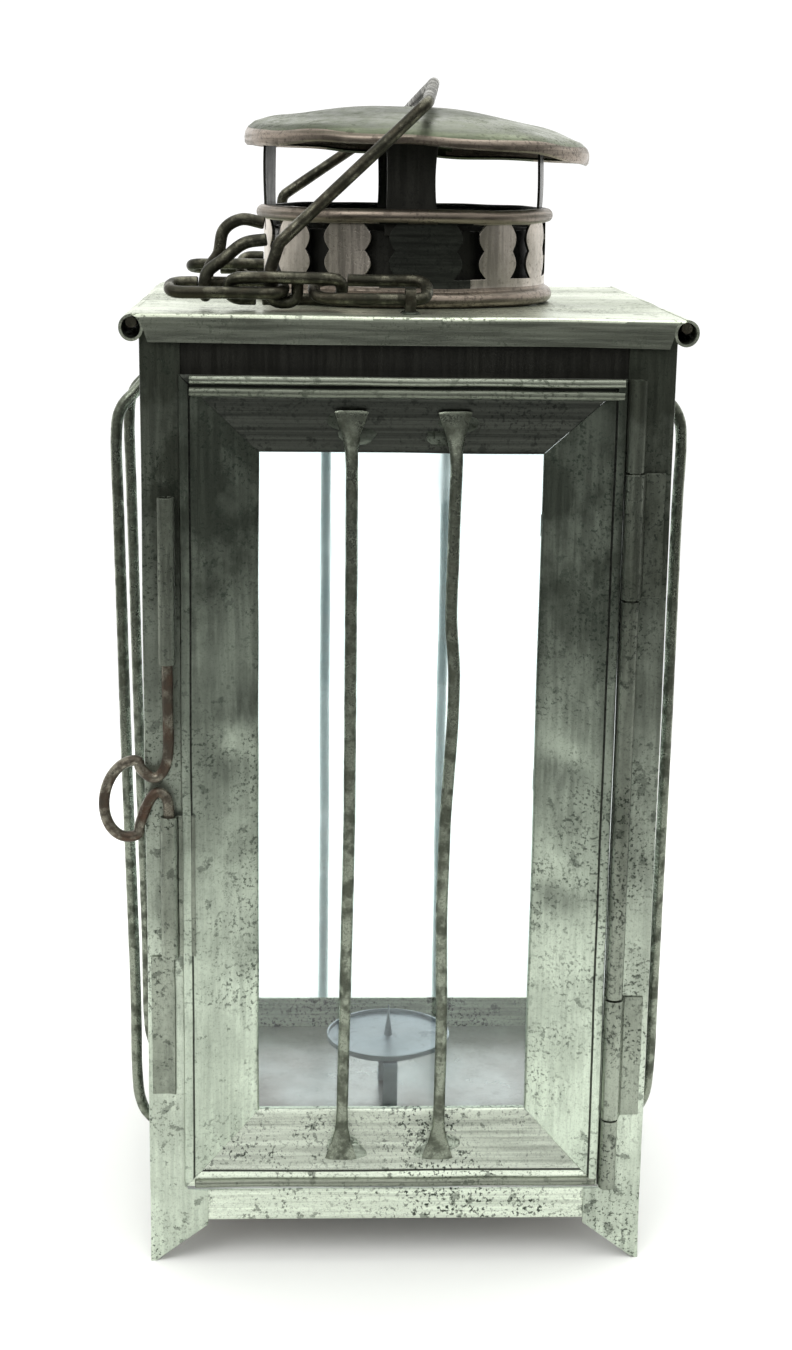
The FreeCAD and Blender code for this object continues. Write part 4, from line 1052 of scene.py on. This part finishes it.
def make_roof():
    """A flat top with two folded flanges, and its sides rolled into curls."""
    edge = ROOF_HIGH[1]
    profile = [(-edge, FLANGE_LOW), (-edge, FLANGE_LOW + 0.4)]
    profile += [(-edge, z) for z in np.linspace(FLANGE_LOW + 1.4, ROOF_TOP - 1.4, 5)]
    profile += arc((-edge + 1.1, ROOF_TOP - 1.1), 1.1, 170, 95, 5)
    flat = [(y, ROOF_TOP) for y in np.linspace(-edge + 2, edge - 2, 96)]
    profile = profile + flat + [(-y, z) for y, z in reversed(profile)]
    grid = []
    for y, z in profile:
        drop = max(0.0, (ROOF_TOP - 0.4 - z) / 6.0)
        half = CURL_X - 1.6 * min(1, drop * 8) - 2.0 * drop
        grid.append([(x, y, z) for x in np.linspace(-half, half, 96)])
    grid = np.array(grid)
    top = np.array([ROOF_TOP - 0.4 <= z for _, z in profile])
    offset = grid[..., :2] - np.array((COLLAR_X, 0))
    away = np.linalg.norm(offset, axis=-1)
    near = (np.abs(away - FLUE) < 1.35 * 0.75) & top[:, None]
    ringed = np.array((COLLAR_X, 0)) + offset / np.maximum(away, 1e-6)[..., None] * FLUE
    grid[..., :2] = np.where(near[..., None], ringed, grid[..., :2])
    centre = (grid[:-1, :-1, :2] + grid[1:, 1:, :2]) / 2 - np.array((COLLAR_X, 0))
    holes = (np.linalg.norm(centre, axis=-1) < FLUE - 0.1) & top[:-1, None] & top[1:, None]
    rough = wavy(grid, 30, 0.35, 2)
    grid[..., 1:] = rough[..., 1:]
    dents = [((-35, -edge, 225.5), 6, (0, 0.5, 0)), ((22, -edge, 226), 7, (0, 0.4, 0))]
    grid = dented(grid, [*dents, ((48, -40, 230), 12, (0, 0, -0.35))])
    grid[..., 2] = np.minimum(grid[..., 2], ROOF_TOP + 0.12)
    parts = [sheet(grid, holes=holes)]
    for sign in (-1, 1):
        roll = arc((0, ROOF_TOP - CURL), CURL, 92, -238, 34)
        spiral = [(sign * (CURL_X + x * (1 - 0.0042 * i)), z) for i, (x, z) in enumerate(roll)]
        ends = np.linspace(-edge, edge, 60)
        curl = np.array([[(x, y, z) for y in ends] for x, z in spiral])
        curl = wavy(curl, 16, 0.22, 4 + sign)
        parts.append(sheet(orient_curl(curl, sign)))
    points, faces = gather(parts)
    points = np.array(points)
    # Painted shade: the flanges, facing front and back, get the darker bead tin for the dark they reflect; the flat
    # top keeps the roof tin.
    edges = [n for n, face in enumerate(faces[: len(parts[0][1])]) if points[face, 2].mean() < ROOF_TOP - 0.7]
    add_piece("roof", points, faces, ROOF_TIN, bevel=0.1, paint=[(BEAD_TIN, edges)])


def orient_curl(grid, sign):
    """The curl's grid with its outside away from the rod."""
    across = grid[4, 1] - grid[4, 0]
    upward = grid[5, 0] - grid[4, 0]
    out = grid[4, 0] - np.array((sign * CURL_X, grid[4, 0, 1], ROOF_TOP - CURL))
    return grid if np.cross(across, upward) @ out > 0 else grid[:, ::-1]


make_roof()


# ---- collar, struts and cap

SLOT_PITCH = 27.0
SLOTS = 13
FIRST_SLOT = 24.0 - 90.0
SLOT_LOW, SLOT_HIGH = 6.6, 19.4
SLOT_END, SLOT_WAIST = 3.6, 2.9
WALL_R = 34.7
SLEEVE_HIGH = 17.5


def slot_half(level):
    """Half the width of a slot at a height: wide at both ends and waisted in the middle."""
    share = (level - SLOT_LOW) / (SLOT_HIGH - SLOT_LOW)
    lobes = abs(math.sin(2 * math.pi * min(max(share, 0), 1)))
    edge = SLOT_END + (SLOT_WAIST - SLOT_END) * (1 - abs(2 * share - 1))
    return edge - 1.75 * lobes + 0.65


def collar_outline():
    """(radius, height) of the collar's outside, from the base bead to the rim bead."""
    tall = COLLAR_HIGH - COLLAR_LOW
    line = arc((WALL_R, 1.9), 1.9, -80, 84, 9)
    line += [(WALL_R, 4.6), (WALL_R, 5.6)]
    line += [(WALL_R, z) for z in np.linspace(SLOT_LOW, SLOT_HIGH, 21)]
    rim_middle = tall - 1.75
    line += arc((WALL_R, rim_middle), 1.75, -72, 90, 9)
    line += [(WALL_R - 0.5, tall - 0.1)]
    return line


def make_collar():
    """The pierced collar: hourglass slots between panels of two stacked lobes."""
    outline = collar_outline()
    rows = []
    open_row = []
    for radius, level in outline:
        half = slot_half(level)
        inside = SLOT_LOW - 0.01 <= level <= SLOT_HIGH + 0.01 and radius == WALL_R
        open_row.append(inside)
        row = []
        for slot in range(SLOTS):
            centre = FIRST_SLOT + SLOT_PITCH * slot
            following = centre + (SLOT_PITCH if slot < SLOTS - 1 else 360 - SLOT_PITCH * (SLOTS - 1))
            reach = math.degrees(half / WALL_R)
            row.extend(np.linspace(centre - reach, centre + reach, 5)[:-1])
            row.extend(np.linspace(centre + reach, following - reach, 13)[:-1])
        rows.append([(radius, angle, level) for angle in row])
    rows = np.array(rows)
    turn = np.radians(rows[..., 1])
    grid = np.stack([rows[..., 0] * np.cos(turn), rows[..., 0] * np.sin(turn), rows[..., 2]], -1)
    holes = np.zeros((len(outline) - 1, grid.shape[1]), bool)
    for i in range(len(outline) - 1):
        if open_row[i] and open_row[i + 1]:
            for slot in range(SLOTS):
                holes[i, slot * 16 : slot * 16 + 4] = True
    grid = wavy(grid, 14, 0.3, 8) + (COLLAR_X, 0, COLLAR_LOW)
    wall = sheet(grid, gauge=0.7, holes=holes, wrap=True)
    top = COLLAR_LOW + SLEEVE_HIGH
    sleeve = [(FLUE - 0.6, COLLAR_LOW), (FLUE - 0.1, COLLAR_LOW), (FLUE - 0.1, top), (FLUE - 0.6, top)]
    points, faces = gather([wall, turned(sleeve, centre=(COLLAR_X, 0, 0))])
    points = np.array(points)
    # The sleeve and the wall's inward faces get the near-black tin: sooting, and painted shade in the collar's hollow
    # so the slots read dark.
    inside = list(range(len(wall[1]), len(faces)))
    beads = []
    seam_and_shade = []
    for number, face in enumerate(wall[1]):
        corners = points[face]
        spot = corners.mean(0) - (COLLAR_X, 0, COLLAR_LOW)
        facing = np.cross(corners[1] - corners[0], corners[2] - corners[1])
        if facing[:2] @ spot[:2] < 0:
            inside.append(number)
        elif spot[2] > SLOT_HIGH or spot[2] < 4.6:
            beads.append(number)
        # The front panel before the first slot, where the soldered join is, gets the near-black shaded tin: a dark
        # join, and painted shade for the dark this front-facing panel reflects.
        elif FIRST_SLOT - 36 < math.degrees(math.atan2(spot[1], spot[0])) < FIRST_SLOT:
            seam_and_shade.append(number)
    paint = [(COPPERY_TIN, beads), (SOOT_AND_SHADE_TIN, inside), (SHADED_TIN, seam_and_shade)]
    add_piece("collar", points, faces, COLLAR_TIN, bevel=0.1, paint=paint)


def make_struts():
    """Flat strips from the collar's rim to the cap, slightly bowed."""
    for seed, node in enumerate(("strut_front", "strut_right", "strut_rear", "strut_left")):
        low, high = span(node)
        size = high - low
        thin = int(np.argmin(size[:2]))
        broad = 1 - thin
        face = (low[thin] + high[thin]) / 2
        outward = np.zeros(3)
        outward[thin] = np.sign(face)
        grid = []
        for share in np.linspace(0, 1, 12):
            z = low[2] + size[2] * share
            bow = 0.9 * math.sin(share * math.pi) * (0.5 if thin == 0 else -0.3)
            narrow = 1 - 0.12 * math.sin(share * math.pi)
            row = []
            for t in np.linspace(-0.5, 0.5, 9):
                point = np.zeros(3)
                point[broad] = (low[broad] + high[broad]) / 2 + size[broad] * t * narrow
                point[thin] = face + outward[thin] * (TIN / 2 + bow) + (thin == 0) * size[broad] * t * 0.17
                point[2] = z
                row.append(point)
            grid.append(row)
        grid = wavy(np.array(grid), 12, 0.25, seed)
        points, faces = sheet(orient(grid, outward))
        # Painted shade, with sooting: the struts under the cap get the near-black tin.
        add_piece(node, points, faces, SOOT_AND_SHADE_TIN, bevel=0.1)


CAP_X = 4.0
CAP_TILT = 2.4
CAP_R = 42.3
CAP_RISE = 7.0
CAP_SKIRT = 4.6


def make_cap():
    """A shallow dome with a rolled skirt, uneven at its edge, tipped to the right."""
    dome = (CAP_R ** 2 + CAP_RISE ** 2) / 2 / CAP_RISE
    turn = np.linspace(0, 2 * math.pi, 160, endpoint=False)
    profile = [(CAP_R - 1.2, -CAP_SKIRT + 0.5), (CAP_R - 0.6, -CAP_SKIRT), (CAP_R - 0.1, -CAP_SKIRT + 0.6)]
    profile += [(CAP_R, -2.8), (CAP_R - 0.1, -1.6), (CAP_R - 0.7, -0.5)]
    for radius in np.linspace(CAP_R - 2.2, 0.4, 26):
        profile.append((radius, math.sqrt(dome ** 2 - radius ** 2) - dome + CAP_RISE))
    grid = np.array([[(r * math.cos(a), r * math.sin(a), z) for a in turn] for r, z in profile])
    shallow = 1 - 0.48 * np.clip(-np.sin(turn), 0, 1) ** 2
    grid[..., 2] = np.where(grid[..., 2] < 0, grid[..., 2] * shallow, grid[..., 2])
    uneven = np.array([noise.noise(Vector((math.cos(a) * 2.2, math.sin(a) * 2.2, 4))) for a in turn])
    edge = np.clip((np.linalg.norm(grid[..., :2], axis=-1) - 30) / 12, 0, 1)
    grid[..., 2] += edge * uneven[None] * 1.1
    grid = wavy(grid, 18, 0.45, 3)
    slit = []
    for x, y in ((-3, -33), (33, 0), (-3, 33), (-36, 0)):
        slit.append(((x, y, 3), 5, (0, 0, 0.5)))
    grid = dented(grid, slit)
    lift = span("cap")[1][2] - 7.0
    parts = [sheet(grid, wrap=True)]
    points, faces = parts[0]
    radius = np.linalg.norm(points[:, :2], axis=1)
    rim = [n for n, f in enumerate(faces) if np.mean([radius[c] for c in f]) > CAP_R - 0.9]
    points = turn_about(points, "Y", CAP_TILT) + (CAP_X, 0, lift)
    add_piece("cap", points, faces, CAP_TIN, bevel=0.1, paint=[(COPPERY_TIN, rim)])


make_collar()
make_struts()
make_cap()


# ---- chains, bail and hook


def make_link(node, tilt, sign, seed):
    """A long wire link whose cut ends meet in one of its sides."""
    low, high = span(node)
    centre = (low + high) / 2
    half_long = (high[0] - low[0]) / 2 - WIRE
    half_wide = 10.8 / 2 - WIRE
    corners = [
        (-half_long, -half_wide, 0), (half_long, -half_wide, 0), (half_long, half_wide, 0), (-half_long, half_wide, 0)
    ]
    path = rounded(corners, 3.7, step=0.7, closed=True)
    start = int(len(path) * 0.86)
    path = np.roll(path, -start, 0)
    path = turn_about(path, "X", -sign * tilt) + centre
    path = wavy(path, 13, 0.15, seed)
    points, faces = wire(path[:-1], WIRE, seed=seed)
    add_piece(node, points, faces, CHAIN_WIRE)


for side, sign in (("front", -1), ("rear", 1)):
    for number, (name, tilt) in enumerate((("one", 28), ("two", -40), ("three", 12))):
        make_link(f"{side}_link_{name}", tilt, sign, number + 2 * sign)


def make_eye(node, sign):
    """A strip bent over the chain and soldered to the roof."""
    low, high = span(node)
    inner = rounded(
        [(0, low[1], low[2]), (0, low[1], high[2]), (0, high[1], high[2]), (0, high[1], low[2])], 1.7, step=0.6
    )
    grid = np.array([inner + (x, 0, 0) for x in np.linspace(low[0], high[0], 5)])
    arch = sheet(orient(grid, (0, 0, 1)), gauge=0.55)
    middle_x = (low[0] + high[0]) / 2
    feet = [blob((middle_x, y, low[2] + 0.1), (2.2, 1.3, 0.5), sign) for y in (low[1], high[1])]
    points, faces = gather([arch, *feet])
    add_piece(node, points, faces, CHAIN_WIRE, bevel=0.1, paint=[(SOLDER, range(len(arch[1]), len(faces)))])


make_eye("front_eye", -1)
make_eye("rear_eye", 1)

CHAIN_Y = 47.5
CHAIN_Z = 235.0


def make_bail():
    """The carrying bail over the cap, hooked under the ends of both chains."""
    bend_x = -41.0 + 28.5 / 2 - WIRE
    ring = 2 * WIRE + 0.3
    knee = bend_x - ring + 2
    over = knee + 33
    front = [
        (bend_x + ring, -CHAIN_Y, CHAIN_Z + 3), (bend_x + ring, -CHAIN_Y, CHAIN_Z - ring),
        (bend_x - ring, -CHAIN_Y, CHAIN_Z - ring), (bend_x - ring, -CHAIN_Y, CHAIN_Z + 4),
        (knee, -CHAIN_Y, 245.0), (over, -CHAIN_Y, 276.2),
    ]
    rear = [(x, -y, 253.7 if z == 245.0 else z) for x, y, z in reversed(front)]
    path = rounded([*front, (over + 4, 0, 281.8), *rear], 2.7, step=0.8)
    path = wavy(path, 22, 0.1, 9)
    points, faces = wire(path, WIRE, seed=3)
    add_piece("bail", points, faces, CHAIN_WIRE)


def make_hook():
    """The hanging hook: one wire doubled round the last link, with two open prongs."""
    half_wide = 10.8 / 2 - WIRE
    strand_y = -CHAIN_Y + half_wide * math.cos(math.radians(12))
    strand_z = CHAIN_Z + half_wide * math.sin(math.radians(12))
    ring = 2 * WIRE + 0.35
    hang = -46.0
    front = strand_y - 0.8
    rear = strand_y + 2.2
    neck = strand_z + ring
    top = span("hanging_hook")[1][2] - WIRE
    path = smooth_line(
        [
            (hang + 13.4, rear, top - 0.9), (hang + 8.2, rear, top - 0.1), (hang + 4.2, rear, top - 2.6),
            (hang + 3.0, rear, neck + 3.4), (hang + 1.0, strand_y + ring * 0.95, neck + 0.4),
            (hang, strand_y + ring, strand_z - 0.2), (hang, strand_y + ring * 0.6, strand_z - ring * 0.8),
            (hang, strand_y - ring * 0.6, strand_z - ring * 0.8), (hang, strand_y - ring, strand_z + 0.2),
            (hang + 0.8, strand_y - ring * 0.9, neck - 0.4), (hang + 4.2, front - 1.0, neck + 2.2),
            (hang + 8.8, front, top - 5.4), (hang + 14, front, top - 4.4),
        ],
        0.7,
    )
    path = wavy(path, 15, 0.1, 5)
    points, faces = wire(path, WIRE, seed=6)
    add_piece("hanging_hook", points, faces, CHAIN_WIRE)


make_bail()
make_hook()


# ---- carried CAD nodes

CARRIED = {
    "left_pane": GLASS,
    "right_pane": GLASS,
    "rear_pane": GLASS,
    "door_pane": GLASS,
    # Painted light: the sills get the bright lit copy of the tin.
    "left_sill": LIT_RAIL_TIN,
    "right_sill": LIT_RAIL_TIN,
    "rear_sill": LIT_RAIL_TIN,
    "pane_tabs": POST_TIN,
    "door_pane_tabs": STILE_TIN,
    "hinge_pin": GUARD_WIRE,
    "roof_rod_left": CHAIN_WIRE,
    "roof_rod_right": CHAIN_WIRE,
}

for node, material in CARRIED.items():
    mesh = frame["nodes"][node].data
    mesh.materials.clear()
    mesh.materials.append(material)


# ---- stage, light and camera


def make_floor():
    bpy.ops.mesh.primitive_circle_add(vertices=96, radius=0.42, fill_type="NGON")
    floor = bpy.context.object
    floor.name = "floor"
    material, _, shader = new_material("pale floor", "none")
    shader.inputs["Base Color"].default_value = (0.93, 0.94, 0.92, 1)
    shader.inputs["Roughness"].default_value = 0.9
    floor.data.materials.append(material)


def make_light(name, place, aim, size, power):
    light = bpy.data.lights.new(name, "AREA")
    light.shape = "RECTANGLE"
    light.size, light.size_y = size
    light.energy = power
    lamp = bpy.data.objects.new(name, light)
    lamp.location = place
    lamp.rotation_euler = (Vector(aim) - Vector(place)).to_track_quat("-Z", "Y").to_euler()
    bpy.context.scene.collection.objects.link(lamp)


def make_world():
    """White to the eye. As light it is bright above and behind, and dimmer in front."""
    world = bpy.data.worlds.new("studio")
    world.use_nodes = True
    tree = world.node_tree
    tree.nodes.clear()
    parts = tree.nodes.new("ShaderNodeSeparateXYZ")
    tree.links.new(tree.nodes.new("ShaderNodeTexCoord").outputs["Generated"], parts.inputs[0])
    behind = remap(tree, parts.outputs["Y"], -0.35, 0.6, 0.05, 1.5)
    above = remap(tree, parts.outputs["Z"], -0.02, 0.45, 0.0, 0.95)
    total = tree.nodes.new("ShaderNodeMath")
    total.operation = "MAXIMUM"
    tree.links.new(behind, total.inputs[0])
    tree.links.new(above, total.inputs[1])
    seen = tree.nodes.new("ShaderNodeLightPath").outputs["Is Camera Ray"]
    lit = tree.nodes.new("ShaderNodeBackground")
    lit.inputs["Color"].default_value = (1, 1, 0.985, 1)
    tree.links.new(total.outputs[0], lit.inputs["Strength"])
    white = tree.nodes.new("ShaderNodeBackground")
    white.inputs["Color"].default_value = (1, 1, 1, 1)
    white.inputs["Strength"].default_value = 1.1
    choice = tree.nodes.new("ShaderNodeMixShader")
    tree.links.new(seen, choice.inputs[0])
    tree.links.new(lit.outputs[0], choice.inputs[1])
    tree.links.new(white.outputs[0], choice.inputs[2])
    tree.links.new(choice.outputs[0], tree.nodes.new("ShaderNodeOutputWorld").inputs[0])
    bpy.context.scene.world = world


def make_camera():
    """A camera a little above the lantern, looking down at its front."""
    yaw, pitch, roll = 0.045, 0.238, 0.015
    ahead = Vector((math.sin(yaw) * math.cos(pitch), math.cos(yaw) * math.cos(pitch), -math.sin(pitch)))
    level = Vector((math.cos(yaw), -math.sin(yaw), 0))
    upward = level.cross(ahead)
    right = level * math.cos(roll) + upward * math.sin(roll)
    top = upward * math.cos(roll) - level * math.sin(roll)
    turn = Matrix((right, top, -ahead)).transposed().to_4x4()
    camera = bpy.data.cameras.new("camera")
    camera.lens = 57.27
    camera.sensor_width = 36.0
    eye = bpy.data.objects.new("camera", camera)
    eye.matrix_world = Matrix.Translation((-0.02363, -0.54061, 0.26496)) @ turn
    bpy.context.scene.collection.objects.link(eye)
    bpy.context.scene.camera = eye


make_floor()
make_world()
make_light("key", (-0.7, -0.9, 1.1), (0, 0, 0.12), (0.9, 0.9), 7)
make_light("top", (0.2, 0.1, 1.3), (0, 0, 0.1), (1.2, 1.2), 9)
make_camera()
bpy.context.scene.view_settings.view_transform = "Standard"
